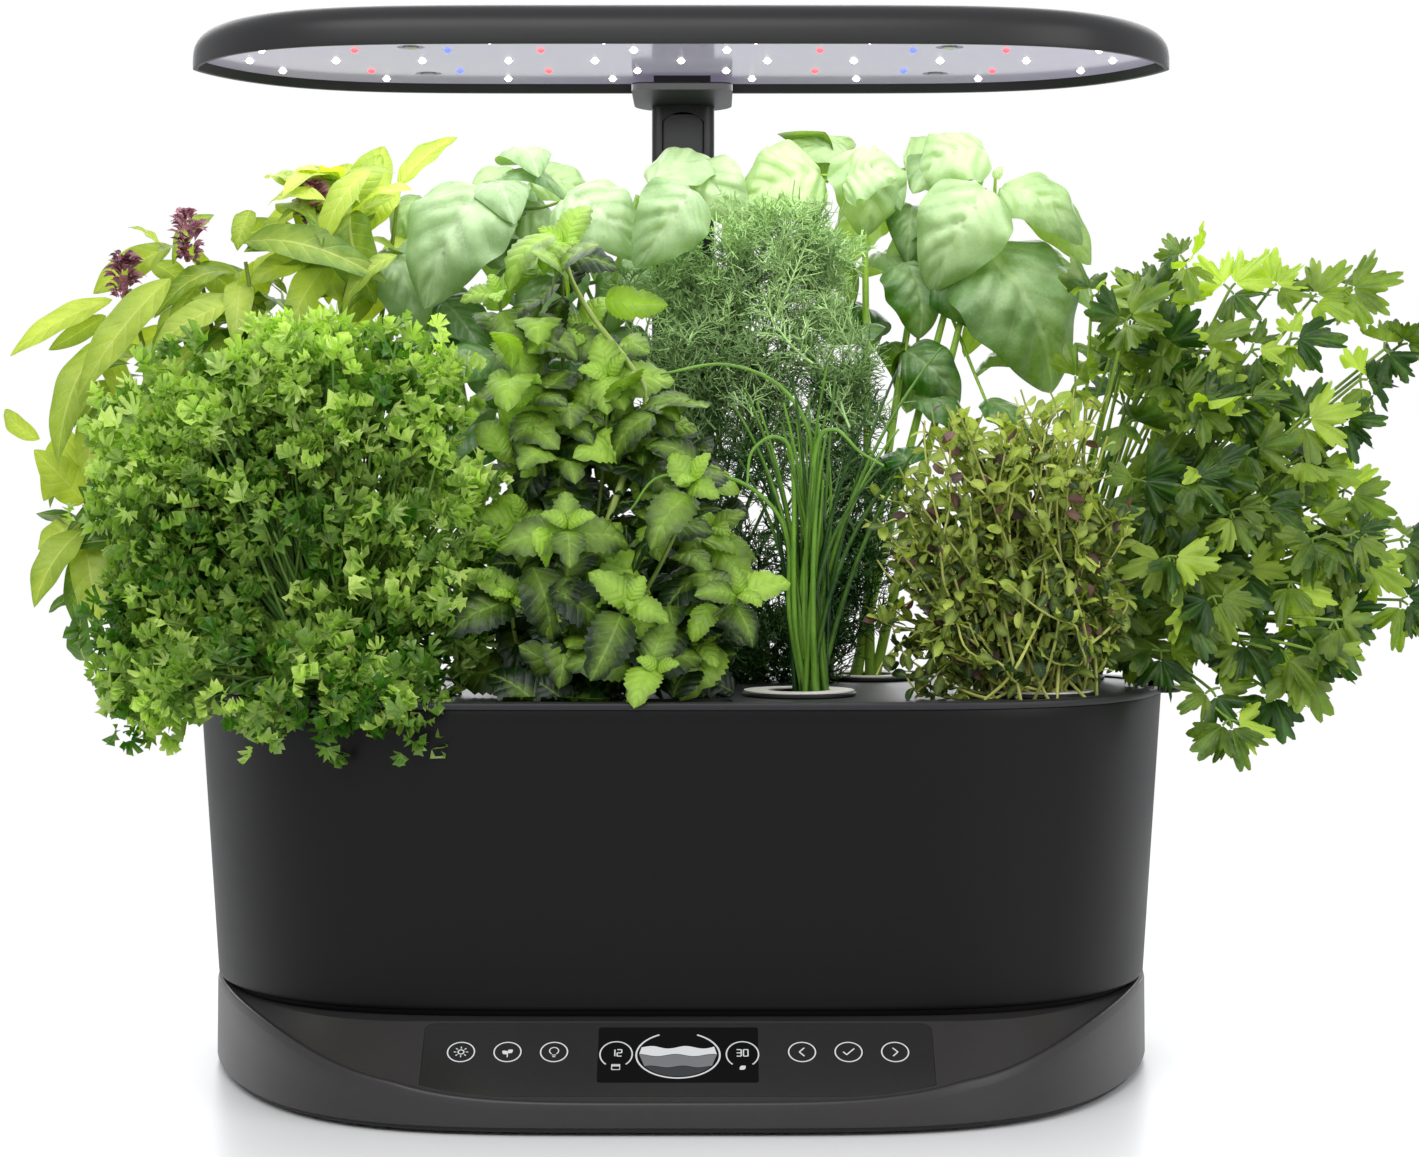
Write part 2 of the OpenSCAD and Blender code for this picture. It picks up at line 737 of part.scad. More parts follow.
module pump_housing() {
    color([0.14, 0.14, 0.15])
    translate([pump_x, pump_y, pump_z]) {
        difference() {
            union() {
                cylinder(r = pump_r, h = pump_h);
                translate([outlet_x - pump_x, 0, 0]) cylinder(r = riser_r + 2, h = pump_h + 3);
                translate([0, -riser_r - 2, 0]) cube([outlet_x - pump_x, 2 * riser_r + 4, pump_h]);
            }
            translate([0, 0, pump_h - 12.5]) cylinder(r = volute_r, h = 12.5 + past);
            // Outlet duct and the socket of the riser
            translate([0, -3, pump_h - 10]) cube([outlet_x - pump_x, 6, 6]);
            translate([outlet_x - pump_x, 0, pump_h - 10]) cylinder(r = riser_r - 1.6, h = 20);
            translate([outlet_x - pump_x, 0, pump_h - 5])
                cylinder(r = riser_r + 0.05, h = 8 + past);
        }
        translate([0, 0, pump_h - 13]) cylinder(r = shaft_r, h = 12.4, $fn = 24);
    }
}

module pump_impeller() {
    color([0.8, 0.8, 0.82])
    translate([pump_x, pump_y, pump_z + pump_h - 12]) difference() {
        union() {
            cylinder(r = 3.2, h = 10.5);
            cylinder(r = impeller_r, h = 1.2);
            for (a = [0 : 60 : 300]) rotate([0, 0, a])
                translate([0, -0.6, 0]) cube([impeller_r - 0.2, 1.2, 9]);
        }
        translate([0, 0, -past]) cylinder(r = shaft_r + shaft_play, h = 20, $fn = 24);
    }
}

module pump_cover() {
    color([0.12, 0.12, 0.13])
    translate([pump_x, pump_y, pump_z + pump_h]) difference() {
        cylinder(r = pump_r - 4.6, h = cover_t);
        for (a = [0 : 45 : 315]) rotate([0, 0, a]) translate([7, 0, -past])
            cylinder(r = 1.6, h = cover_t + 2 * past, $fn = 24);
    }
}

module pump_filter() {
    color([0.25, 0.27, 0.25])
    translate([pump_x, pump_y, pump_z + pump_h + cover_t]) cylinder(r = pump_r - 5, h = filter_t);
}

module riser_tube() {
    color([0.2, 0.2, 0.2])
    translate([outlet_x, pump_y, pump_z + pump_h - 5]) difference() {
        cylinder(r = riser_r, h = deck_z - 1 - (pump_z + pump_h - 5));
        translate([0, 0, -past]) cylinder(r = riser_r - 1.6, h = deck_z);
    }
}

module float_cage() {
    color([0.14, 0.14, 0.15])
    translate([-pump_x, pump_y, floor_in_z]) difference() {
        cylinder(r = cage_r, h = cage_h);
        translate([0, 0, -past]) cylinder(r = cage_r - cage_wall, h = cage_h + past - 2);
        translate([0, 0, cage_h - 3]) cylinder(r = 5, h = 3 + past);
        for (a = [0, 60, 120]) rotate([0, 0, a])
            translate([-cage_r - past, -3.5, 4]) cube([2 * (cage_r + past), 7, cage_h - 12]);
    }
}

module level_float() {
    color([0.85, 0.85, 0.8])
    translate([-pump_x, pump_y, floor_in_z + 0.1]) rotate_extrude()
        polygon([
            [0, 0], [float_r - 1.5, 0], [float_r, 1.5], [float_r, float_h - 1.5],
            [float_r - 1.5, float_h], [0, float_h]
        ]);
}

float_r = cage_r - cage_wall - float_gap;

// ---- Grow deck ----------------------------------------------------------

// The deck's outline: the bowl's rim drawn in by inset
function deck_outline(inset) = bowl_outline(bowl_rim_z, inset);

tab_x = bowl_rim_half_w;
tab_y = bowl_wide_y + 4;

module finger_tab() {
    translate([tab_x - 8, tab_y, deck_z]) {
        linear_extrude(deck_t) difference() {
            rounded_rect(2 * (8 + tab_reach), 2 * tab_half_len, 9);
            translate([-40, -40]) square([40, 80]);
        }
        translate([8 + tab_reach - 2.2, -tab_half_len + 9, -2.2]) cube([2.2, 2 * tab_half_len - 18, 2.4]);
    }
}

module grow_deck() {
    color([0.15, 0.15, 0.155])
    difference() {
        union() {
            loft([
                flat_ring(deck_outline(-0.3), deck_z),
                flat_ring(deck_outline(-0.8), deck_z + 0.6),
                flat_ring(deck_outline(-0.8), deck_top - 0.8),
                flat_ring(deck_outline(0), deck_top)
            ]);
            finger_tab();
            mirror([1, 0, 0]) finger_tab();
            // Rim that locates the deck inside the bowl
            translate([0, 0, deck_z - deck_rim_depth]) linear_extrude(deck_rim_depth + 0.5)
                difference() {
                    polygon(deck_outline(bowl_wall + 1.2));
                    polygon(deck_outline(bowl_wall + 3));
                }
            // Ribs under the deck between the two rows
            for (y = [-18, 10]) translate([-190, y, deck_z - 4]) cube([380, 1.8, 4.5]);
            for (x = [-1, 1]) translate([x * 12.5 - 0.9, -18, deck_z - 4]) cube([1.8, 29, 4.5]);
            // Socket that meets the riser
            translate([outlet_x, pump_y, deck_z - 7]) cylinder(r = riser_r + 2.3, h = 7.5);
        }
        // Dish inside the border
        translate([0, 0, dish_z]) linear_extrude(deck_t) polygon(deck_outline(6));
        for (p = pods) translate([p[0], p[1], deck_z - past])
            cylinder(r = basket_r + pod_gap, h = deck_t + 2 * past);
        translate([0, port_y, deck_z - past]) linear_extrude(deck_t + 2 * past)
            rounded_rect(port_w, port_len, 6);
        translate([outlet_x, pump_y, deck_z - 8]) cylinder(r = riser_r + 0.3, h = 8);
    }
}

// A slotted basket that hangs in the deck by its flange
module grow_basket(i) {
    color([0.13, 0.13, 0.13])
    translate([pods[i][0], pods[i][1], basket_floor_z]) difference() {
        rotate_extrude() polygon([
            [0, 0], [basket_foot_r, 0], [basket_r, basket_depth],
            [basket_flange_r - 0.6, basket_depth], [basket_flange_r, basket_depth + 0.6],
            [basket_flange_r, basket_depth + flange_t - 0.6],
            [basket_flange_r - 0.6, basket_depth + flange_t],
            [basket_r - basket_wall, basket_depth + flange_t],
            [basket_r - basket_wall, basket_depth], [basket_foot_r - basket_wall, basket_wall],
            [0, basket_wall]
        ]);
        for (a = [0 : 60 : 120]) rotate([0, 0, a])
            translate([-basket_r - 5, -2, 6]) cube([2 * basket_r + 10, 4, basket_depth - 20]);
        for (a = [0, 90]) rotate([0, 0, a]) translate([-basket_foot_r + 5, -1.2, -past])
            cube([2 * basket_foot_r - 10, 2.4, basket_wall + 2 * past]);
    }
}

// Radius of the inside of a basket at height z
function basket_inside(z) = basket_foot_r - basket_wall
    + (basket_r - basket_foot_r) * (z - basket_floor_z - basket_wall) / (basket_depth - basket_wall);

module grow_sponges() {
    color([0.25, 0.18, 0.1])
    for (p = pods) translate([p[0], p[1], basket_floor_z + basket_wall])
        cylinder(
            r1 = basket_inside(basket_floor_z + basket_wall) - sponge_gap,
            r2 = basket_inside(sponge_z) - sponge_gap,
            h = sponge_z - basket_floor_z - basket_wall);
}

module pod_labels() {
    color([0.8, 0.8, 0.8])
    for (p = pods) translate([p[0], p[1], dish_z + flange_t]) difference() {
        cylinder(r = basket_flange_r - 0.8, h = label_t);
        translate([0, 0, -past]) cylinder(r = label_hole_r, h = label_t + 2 * past);
    }
}

// ---- Plants -------------------------------------------------------------

// A crown of foliage: a lumpy superellipsoid with half sizes s about c. The
// lumps only cut in, so the crown stays inside its half sizes.
module crown(c, s, lobes) {
    n = 20;
    m = 10;
    e = 0.8;
    function lump(t, f) = 1 - 0.07 * (1 + sin(lobes * t + 47 * lobes) * cos(2 * f));
    pts = [for (i = [1 : m - 1])
        let (f = -90 + 180 * i / m)
        [for (j = [0 : n - 1])
            let (t = 360 * j / n, k = lump(t, f))
            [c[0] + s[0] * k * signed_pow(cos(f), e) * signed_pow(cos(t), e),
             c[1] + s[1] * k * signed_pow(cos(f), e) * signed_pow(sin(t), e),
             c[2] + s[2] * signed_pow(sin(f), e)]]];
    all = concat([[c[0], c[1], c[2] - s[2]]], [for (r = pts) each r], [[c[0], c[1], c[2] + s[2]]]);
    last = 1 + (m - 1) * n;
    faces = concat(
        [for (j = [0 : n - 1]) [0, 1 + j, 1 + (j + 1) % n]],
        [for (r = [0 : m - 3], j = [0 : n - 1])
            let (a = 1 + r * n + j, b = 1 + r * n + (j + 1) % n, cc = b + n, d = a + n)
            each [[a, d, cc], [a, cc, b]]],
        [for (j = [0 : n - 1]) [last, last - n + (j + 1) % n, last - n + j]]);
    polyhedron(points = all, faces = faces);
}

// The stalks that carry a crown: straight out of the sponge, then leaning to it
module stalks(pod, c, s, r) {
    knee = sponge_z + 9;
    target = [c[0], c[1], c[2] - s[2] * 0.3];
    lean = target - [pod[0], pod[1], knee];
    reach = norm(lean);
    translate([pod[0], pod[1], sponge_z]) cylinder(r = r, h = knee - sponge_z, $fn = 24);
    translate([pod[0], pod[1], knee])
        rotate([0, acos(lean[2] / reach), atan2(lean[1], lean[0])])
            translate([0, 0, -2]) cylinder(r1 = r * 0.88, r2 = r * 0.65, h = reach + 2, $fn = 24);
}

// A plant whose crown fills the space between low and high corners
module plant(i, low, high, lobes, stalk_r, c) {
    mid = (low + high) / 2;
    half = (high - low) / 2;
    color(c) {
        crown(mid, half, lobes);
        stalks(pods[i], mid, half, stalk_r);
    }
}

// Limits shared by neighbouring plants
front_back_y = -row_gap / 2;
back_front_y = row_gap / 2;
back_back_y = mast_y - sleeve_d / 2 - 5;
low_z = dish_z + flange_t + 6;
plant_gap = 2;
split_curly_mint = -79;
split_mint_chives = 24;
split_chives_thyme = 77;
split_thyme_parsley = 185;
split_thai_basil = -132;
split_basil_dill = -25;
dill_back_y = 57;

module curly_parsley() {
    plant(0, [-curly_reach, foliage_front, low_z], [split_curly_mint - plant_gap / 2, front_back_y, curly_top],
        5, 7, [0.16, 0.42, 0.08]);
}

module mint() {
    plant(1, [split_curly_mint + plant_gap / 2, foliage_front, low_z],
        [split_mint_chives - plant_gap / 2, front_back_y, mint_top], 4, 5, [0.25, 0.5, 0.15]);
}

module chives() {
    plant(2, [split_mint_chives + plant_gap / 2, foliage_front + 10, low_z],
        [split_chives_thyme - plant_gap / 2, front_back_y, chives_top], 4, 8, [0.15, 0.4, 0.1]);
}

module thyme() {
    plant(3, [split_chives_thyme + plant_gap / 2, foliage_front, low_z],
        [split_thyme_parsley - plant_gap / 2, front_back_y, thyme_top], 5, 6, [0.3, 0.4, 0.15]);
}

module thai_basil() {
    plant(4, [-reach_left, back_front_y, low_z + 4],
        [split_thai_basil - plant_gap / 2, back_back_y, foliage_top - 6], 4, 5, [0.4, 0.6, 0.15]);
}

module basil_left() {
    plant(5, [split_thai_basil + plant_gap / 2, back_front_y, basil_left_low],
        [split_basil_dill - plant_gap / 2, back_back_y, foliage_top - 16], 4, 4, [0.3, 0.6, 0.2]);
}

module dill() {
    plant(6, [split_basil_dill + plant_gap / 2, back_front_y, dill_low],
        [86, dill_back_y, foliage_top - 20], 5, 4, [0.2, 0.45, 0.2]);
}

module basil_right() {
    plant(7, [24, dill_back_y + plant_gap, basil_right_low],
        [split_thyme_parsley - plant_gap / 2, back_back_y, foliage_top], 3, 4, [0.3, 0.62, 0.2]);
}

module flat_parsley() {
    plant(8, [split_thyme_parsley + plant_gap / 2, flat_front, low_z],
        [reach_right, back_back_y, flat_top], 4, 5, [0.16, 0.42, 0.08]);
}

// ---- Mast and lamp ------------------------------------------------------

// A stage of the mast: a rectangular tube between two heights
module stage(w, d, wall, low, high) {
    translate([0, mast_y, low]) linear_extrude(high - low) difference() {
        rounded_rect(w, d, w / 6);
        rounded_rect(w - 2 * wall, d - 2 * wall, w / 6 - wall / 2);
    }
}

mast_foot_w = 44;
mast_foot_d = 24;

module mast_base() {
    color([0.2, 0.2, 0.2]) {
        stage(inner_w, inner_d, stage_wall, tray_seam_z, inner_top);
        translate([0, mast_y, tray_seam_z]) linear_extrude(3) difference() {
            rounded_rect(mast_foot_w, mast_foot_d, 3);
            rounded_rect(inner_w - 2, inner_d - 2, 2);
        }
    }
}

module mast_middle() {
    color([0.22, 0.22, 0.22]) stage(middle_w, middle_d, stage_wall, stage_bottom, middle_top);
}

module mast_sleeve() {
    arch_r = slot_w * 0.65;
    color([0.13, 0.13, 0.13])
    difference() {
        union() {
            stage(sleeve_w, sleeve_d, sleeve_wall, stage_bottom, sleeve_top);
            // Closed head that the bracket is screwed to
            translate([0, mast_y, arch_z]) linear_extrude(sleeve_top - arch_z)
                rounded_rect(sleeve_w, sleeve_d, sleeve_w / 6);
        }
        // Arched slot down the front
        intersection() {
            translate([-slot_w / 2, mast_y - sleeve_d, stage_bottom - past])
                cube([slot_w, sleeve_d, arch_z - stage_bottom + past]);
            union() {
                translate([0, mast_y, arch_z - arch_r]) rotate([90, 0, 0])
                    cylinder(r = arch_r, h = sleeve_d);
                translate([-slot_w, mast_y - sleeve_d, stage_bottom - 2 * past])
                    cube([2 * slot_w, sleeve_d, arch_z - arch_r - stage_bottom + 2 * past]);
            }
        }
    }
}

bracket_front_y = 46;
bracket_round_y = mast_y - 7;

module hood_bracket() {
    color([0.12, 0.12, 0.12]) {
        translate([0, 0, sleeve_top]) linear_extrude(bracket_t) {
            translate([0, bracket_round_y]) circle(r = bracket_w / 2);
            translate([-bracket_w / 2, bracket_front_y + 6])
                square([bracket_w, bracket_round_y - bracket_front_y - 6]);
            translate([-bracket_w / 2 + 6, bracket_front_y])
                square([bracket_w - 12, 12]);
            for (x = [-1, 1]) translate([x * (bracket_w / 2 - 6), bracket_front_y + 6])
                circle(r = 6);
        }
        // Spacer up to the reflector inside the lip
        translate([-13, bracket_front_y + 8, hood_z]) cube([26, 22, reflector_set]);
    }
}

module hood_shell() {
    top = hood_z + hood_h;
    color([0.22, 0.22, 0.22])
    difference() {
        loft([
            hood_ring(hood_z, 0.8),
            hood_ring(hood_z + 0.7, 0),
            hood_ring(hood_z + 0.45 * hood_h, 0.4),
            hood_ring(hood_z + 0.7 * hood_h, 2.6),
            hood_ring(hood_z + 0.87 * hood_h, 6.5),
            hood_ring(hood_z + 0.96 * hood_h, 12),
            hood_ring(top, 20)
        ]);
        difference() {
            loft([
                hood_ring(hood_z - past, hood_wall),
                hood_ring(hood_z + 0.45 * hood_h, hood_wall + 0.4),
                hood_ring(hood_z + 0.7 * hood_h, hood_wall + 5),
                hood_ring(top - hood_wall, hood_wall + 12)
            ]);
            // Bosses for the screws that hold the reflector and the lamp board
            for (x = [-1, 1], y = [-1, 1])
                translate([x * hood_screw_x, hood_y + y * hood_screw_dy, reflector_z + 1.2])
                    cylinder(r = 4.2, h = hood_h, $fn = 32);
        }
        for (x = [-1, 1], y = [-1, 1])
            translate([x * hood_screw_x, hood_y + y * hood_screw_dy, reflector_z])
                cylinder(r = screw_r, h = 7, $fn = 24);
    }
}

// Places of the emitters, row by row
mid_leds = [for (i = [-5 : 5]) [i * mid_led_pitch, 0]];
side_leds = [for (i = [-4.5 : 4.5], y = [-1, 1]) [i * side_led_pitch, y * side_row]];
outer_leds = [for (x = [32, 80, 136], side = [-1, 1], y = [-1, 1]) [side * x, y * outer_row]];
white_spots = concat(mid_leds, outer_leds,
    [for (s = side_leds) if (abs(s[0]) < side_led_pitch || abs(s[0]) > 4 * side_led_pitch) s]);
blue_spots = [for (s = side_leds)
    if (abs(abs(s[0]) - 2.5 * side_led_pitch) < 1) s];
red_spots = [for (s = side_leds)
    if (abs(abs(s[0]) - 1.5 * side_led_pitch) < 1 || abs(abs(s[0]) - 3.5 * side_led_pitch) < 1) s];

module hood_reflector() {
    color([0.8, 0.79, 0.83])
    difference() {
        translate([0, 0, reflector_z]) linear_extrude(reflector_t)
            polygon(hood_outline(hood_wall + 0.9));
        for (s = concat(white_spots, red_spots, blue_spots))
            translate([s[0], hood_y + s[1], reflector_z - past])
                cylinder(r = led_r + 0.4, h = reflector_t + 2 * past, $fn = 24);
        for (x = [-1, 1], y = [-1, 1])
            translate([x * hood_screw_x, hood_y + y * hood_screw_dy, reflector_z - past])
                cylinder(r = 6, h = reflector_t + 2 * past, $fn = 32);
    }
}

module led_board() {
    color([0.85, 0.85, 0.85])
    translate([0, 0, led_board_z]) difference() {
        linear_extrude(led_board_t) polygon(hood_outline(14));
        for (x = [-1, 1], y = [-1, 1])
            translate([x * hood_screw_x, hood_y + y * hood_screw_dy, -past])
                cylinder(r = 4.6, h = led_board_t + 2 * past, $fn = 32);
    }
}

// An emitter: a short body under the board with a round lens
module emitter(s) {
    translate([s[0], hood_y + s[1], led_board_z]) rotate([180, 0, 0]) {
        cylinder(r = led_r, h = 1.6, $fn = 24);
        translate([0, 0, 1.6]) rotate_extrude($fn = 24) intersection() {
            circle(r = led_r, $fn = 24);
            square(led_r);
        }
    }
}

module white_leds() {
    color([1, 0.98, 0.9]) for (s = white_spots) emitter(s);
}

module red_leds() {
    color([1, 0.15, 0.15]) for (s = red_spots) emitter(s);
}

module blue_leds() {
    color([0.25, 0.2, 1]) for (s = blue_spots) emitter(s);
}

module hood_screws() {
    color([0.6, 0.6, 0.62])
    for (x = [-1, 1], y = [-1, 1])
        translate([x * hood_screw_x, hood_y + y * hood_screw_dy, reflector_z - 0.5]) {
            cylinder(r = 3.4, h = 1.7, $fn = 24);
            cylinder(r = screw_r - 0.05, h = 6, $fn = 24);
        }
}

base_shell();
base_tray();
rubber_feet();
base_screws();
control_overlay();
display_window();
lcd_module();
panel_key(0);  // light_key
panel_key(1);  // plant_key
panel_key(2);  // tips_key
panel_key(3);  // back_key
panel_key(4);  // ok_key
panel_key(5);  // next_key
control_board();
power_jack();
level_sensor();
bowl_plug();
bowl();
bowl_socket();
pump_housing();
pump_cover();
pump_filter();
pump_impeller();
riser_tube();
float_cage();
level_float();
grow_deck();
grow_basket(0);  // grow_basket_1
grow_basket(1);  // grow_basket_2
grow_basket(2);  // grow_basket_3
grow_basket(3);  // grow_basket_4
grow_basket(4);  // grow_basket_5
grow_basket(5);  // grow_basket_6
grow_basket(6);  // grow_basket_7
grow_basket(7);  // grow_basket_8
grow_basket(8);  // grow_basket_9
grow_sponges();
pod_labels();
curly_parsley();
mint();
chives();
thyme();
thai_basil();
basil_left();
dill();
basil_right();
flat_parsley();
mast_base();
mast_middle();
mast_sleeve();
hood_bracket();
hood_shell();
hood_reflector();
led_board();
white_leds();
red_leds();
blue_leds();
hood_screws();
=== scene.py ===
"""Countertop hydroponic garden: looks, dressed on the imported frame.

Lengths in the helpers are millimetres in the frame's axes (X right, Y back, Z up);
mesh data is written in metres.
"""
import bpy
import math
import numpy as np
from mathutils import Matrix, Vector


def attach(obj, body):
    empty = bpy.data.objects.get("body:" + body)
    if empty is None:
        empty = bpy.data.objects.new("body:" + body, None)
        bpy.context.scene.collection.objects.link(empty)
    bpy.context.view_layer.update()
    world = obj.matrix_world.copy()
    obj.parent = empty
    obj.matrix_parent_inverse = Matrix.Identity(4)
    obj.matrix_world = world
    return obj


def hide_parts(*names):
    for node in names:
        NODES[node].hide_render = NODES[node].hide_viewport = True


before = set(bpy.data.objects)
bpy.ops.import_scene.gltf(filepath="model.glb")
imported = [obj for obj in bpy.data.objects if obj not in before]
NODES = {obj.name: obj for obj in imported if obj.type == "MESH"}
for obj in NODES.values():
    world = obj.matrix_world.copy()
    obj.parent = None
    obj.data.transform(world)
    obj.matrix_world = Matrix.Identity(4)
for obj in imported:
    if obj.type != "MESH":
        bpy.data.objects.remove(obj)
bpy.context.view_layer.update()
PI = math.pi

# ---------------------------------------------------------------- camera ----

scene = bpy.context.scene
cam_data = bpy.data.cameras.new("camera")
cam = bpy.data.objects.new("camera", cam_data)
scene.collection.objects.link(cam)
cam.location = (0.0125, -1.350, 0.2542)
cam.rotation_euler = (PI / 2, 0, 0)
cam_data.lens = 78.09
cam_data.sensor_width = 36
cam_data.shift_y = -0.0659
cam_data.clip_end = 30
scene.camera = cam
scene.view_settings.view_transform = "Standard"

# ------------------------------------------------------------ mesh helpers ----


def mesh_object(name, verts, faces, mat, uv=None, tint=None, sharp=None):
    """A new mesh object at the origin from points in mm. uv and tint are per point."""
    me = bpy.data.meshes.new(name)
    verts = np.asarray(verts, float).reshape(-1, 3) * 0.001
    if isinstance(faces, np.ndarray):
        nf, k = faces.shape
        me.vertices.add(len(verts))
        me.vertices.foreach_set("co", verts.ravel())
        me.loops.add(nf * k)
        me.loops.foreach_set("vertex_index", faces.ravel().astype(np.int32))
        me.polygons.add(nf)
        me.polygons.foreach_set("loop_start", np.arange(nf, dtype=np.int32) * k)
        me.update(calc_edges=True)
        me.validate()
    else:
        me.from_pydata([tuple(v) for v in verts], [], faces)
    if uv is not None:
        lay = me.uv_layers.new(name="UVMap")
        idx = np.empty(len(me.loops), np.int32)
        me.loops.foreach_get("vertex_index", idx)
        lay.data.foreach_set("uv", np.asarray(uv, float).reshape(-1, 2)[idx].ravel())
    if tint is not None:
        at = me.attributes.new("tint", "FLOAT", "POINT")
        at.data.foreach_set("value", np.asarray(tint, float).ravel())
    me.polygons.foreach_set("use_smooth", np.ones(len(me.polygons), bool))
    if sharp is not None:
        me.set_sharp_from_angle(angle=math.radians(sharp))
    me.materials.append(mat)
    ob = bpy.data.objects.new(name, me)
    scene.collection.objects.link(ob)
    return ob


def quads(rows, cols, wrap=False):
    """Faces of a rows x cols grid of points; wrap joins the last column to the first."""
    r = np.arange(rows - 1)[:, None]
    c = np.arange(cols if wrap else cols - 1)[None, :]
    d = (c + 1) % cols
    a, b = r * cols + c, r * cols + d
    return np.stack([a, b, b + cols, a + cols], -1).reshape(-1, 4)


def loft(rings):
    """Points and faces of a closed solid through rings (rows, n, 3), from the first up."""
    rings = np.asarray(rings, float)
    m, n, _ = rings.shape
    faces = [tuple(f) for f in quads(m, n, True)]
    faces.append(tuple(range(n))[::-1])
    faces.append(tuple((m - 1) * n + j for j in range(n)))
    return rings.reshape(-1, 3), faces


def boolean(ob, operation, tool):
    """Adds an exact boolean of ob with tool and gives ob as it then is."""
    mod = ob.modifiers.new("boolean", "BOOLEAN")
    mod.operation, mod.solver, mod.object = operation, "EXACT", tool
    bpy.context.view_layer.update()
    return ob.evaluated_get(bpy.context.evaluated_depsgraph_get())


def spline(points, per):
    """Catmull-Rom through rows of values, per steps to each span."""
    p = np.asarray(points, float)
    q = np.vstack([2 * p[0] - p[1], p, 2 * p[-1] - p[-2]])
    out = []
    for i in range(len(p) - 1):
        a, b, c, d = q[i:i + 4]
        for t in np.arange(per) / per:
            out.append(0.5 * (2 * b + (c - a) * t + (2 * a - 5 * b + 4 * c - d) * t * t
                              + (3 * b - a - 3 * c + d) * t ** 3))
    out.append(p[-1])
    return np.array(out)


def cut(ob, cutters):
    """Subtracts meshes (points, faces) from ob and keeps the result as its mesh."""
    verts, faces, base = [], [], 0
    for v, f in cutters:
        verts.append(np.asarray(v, float).reshape(-1, 3))
        faces += [tuple(int(i) + base for i in face) for face in f]
        base += len(verts[-1])
    tool = mesh_object(ob.name + "_cut", np.vstack(verts), faces, ob.data.materials[0])
    done = bpy.data.meshes.new_from_object(boolean(ob, "DIFFERENCE", tool))
    ob.modifiers.clear()
    ob.data = done
    bpy.data.objects.remove(tool)
    done.polygons.foreach_set("use_smooth", np.ones(len(done.polygons), bool))
    done.set_sharp_from_angle(angle=math.radians(32))
    return ob


def wear(ob, body, slot, *nodes):
    """ob rides on body and stands for nodes; slot is not used."""
    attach(ob, body)
    if nodes:
        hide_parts(*nodes)
    return ob


# -------------------------------------------------------- material helpers ----


class Tree:
    """Short calls for building a node tree."""

    def __init__(self, tree):
        self.t = tree

    def node(self, kind, **sockets):
        n = self.t.nodes.new(kind)
        for k, v in sockets.items():
            k = int(k[1:]) if k[0] == "i" and k[1:].isdigit() else k.replace("_", " ")
            self.put(n.inputs[k], v)
        return n

    def put(self, socket, v):
        if isinstance(v, bpy.types.NodeSocket):
            self.t.links.new(v, socket)
        elif socket.type == "RGBA" and len(v) == 3:
            socket.default_value = (*v, 1)
        else:
            socket.default_value = v

    def math(self, op, a, b=0.0, c=0.0, clamp=False):
        n = self.t.nodes.new("ShaderNodeMath")
        n.operation, n.use_clamp = op, clamp
        for s, v in zip(n.inputs, (a, b, c)):
            self.put(s, v)
        return n.outputs[0]

    def mix(self, fac, a, b, blend="MIX"):
        n = self.t.nodes.new("ShaderNodeMix")
        n.data_type, n.blend_type = "RGBA", blend
        self.put(n.inputs[0], fac)
        self.put(n.inputs[6], a)
        self.put(n.inputs[7], b)
        return n.outputs[2]

    def ramp(self, v, lo, hi, a=0.0, b=1.0):
        n = self.t.nodes.new("ShaderNodeMapRange")
        n.interpolation_type = "SMOOTHSTEP"
        for s, x in zip(n.inputs, (v, lo, hi, a, b)):
            self.put(s, x)
        return n.outputs[0]

    def noise(self, vec, scale, detail=2.0, rough=0.5):
        n = self.node("ShaderNodeTexNoise", Vector=vec, Scale=scale, Detail=detail,
                      Roughness=rough)
        return n.outputs["Fac"]

    def object_coords(self):
        return self.t.nodes.new("ShaderNodeTexCoord").outputs["Object"]


def lin(r, g, b):
    """Linear colour from display values of 0 to 255."""
    def f(c):
        c /= 255
        return c / 12.92 if c <= 0.04045 else ((c + 0.055) / 1.055) ** 2.4
    return (f(r), f(g), f(b))


def group(name, inputs, outputs):
    """A node group with the named sockets; returns it with its Tree, inputs and output."""
    g = bpy.data.node_groups.new(name, "ShaderNodeTree")
    for n, kind, default in inputs:
        s = g.interface.new_socket(n, in_out="INPUT", socket_type="NodeSocket" + kind)
        if default is not None:
            s.default_value = default
    for n, kind in outputs:
        g.interface.new_socket(n, in_out="OUTPUT", socket_type="NodeSocket" + kind)
    return (g, Tree(g), g.nodes.new("NodeGroupInput").outputs,
            g.nodes.new("NodeGroupOutput").inputs)


def use(tree, g, **sockets):
    """Places the group g in a tree and gives its outputs."""
    n = tree.t.nodes.new("ShaderNodeGroup")
    n.node_tree = g
    for k, v in sockets.items():
        tree.put(n.inputs[k.replace("_", " ")], v)
    return n.outputs


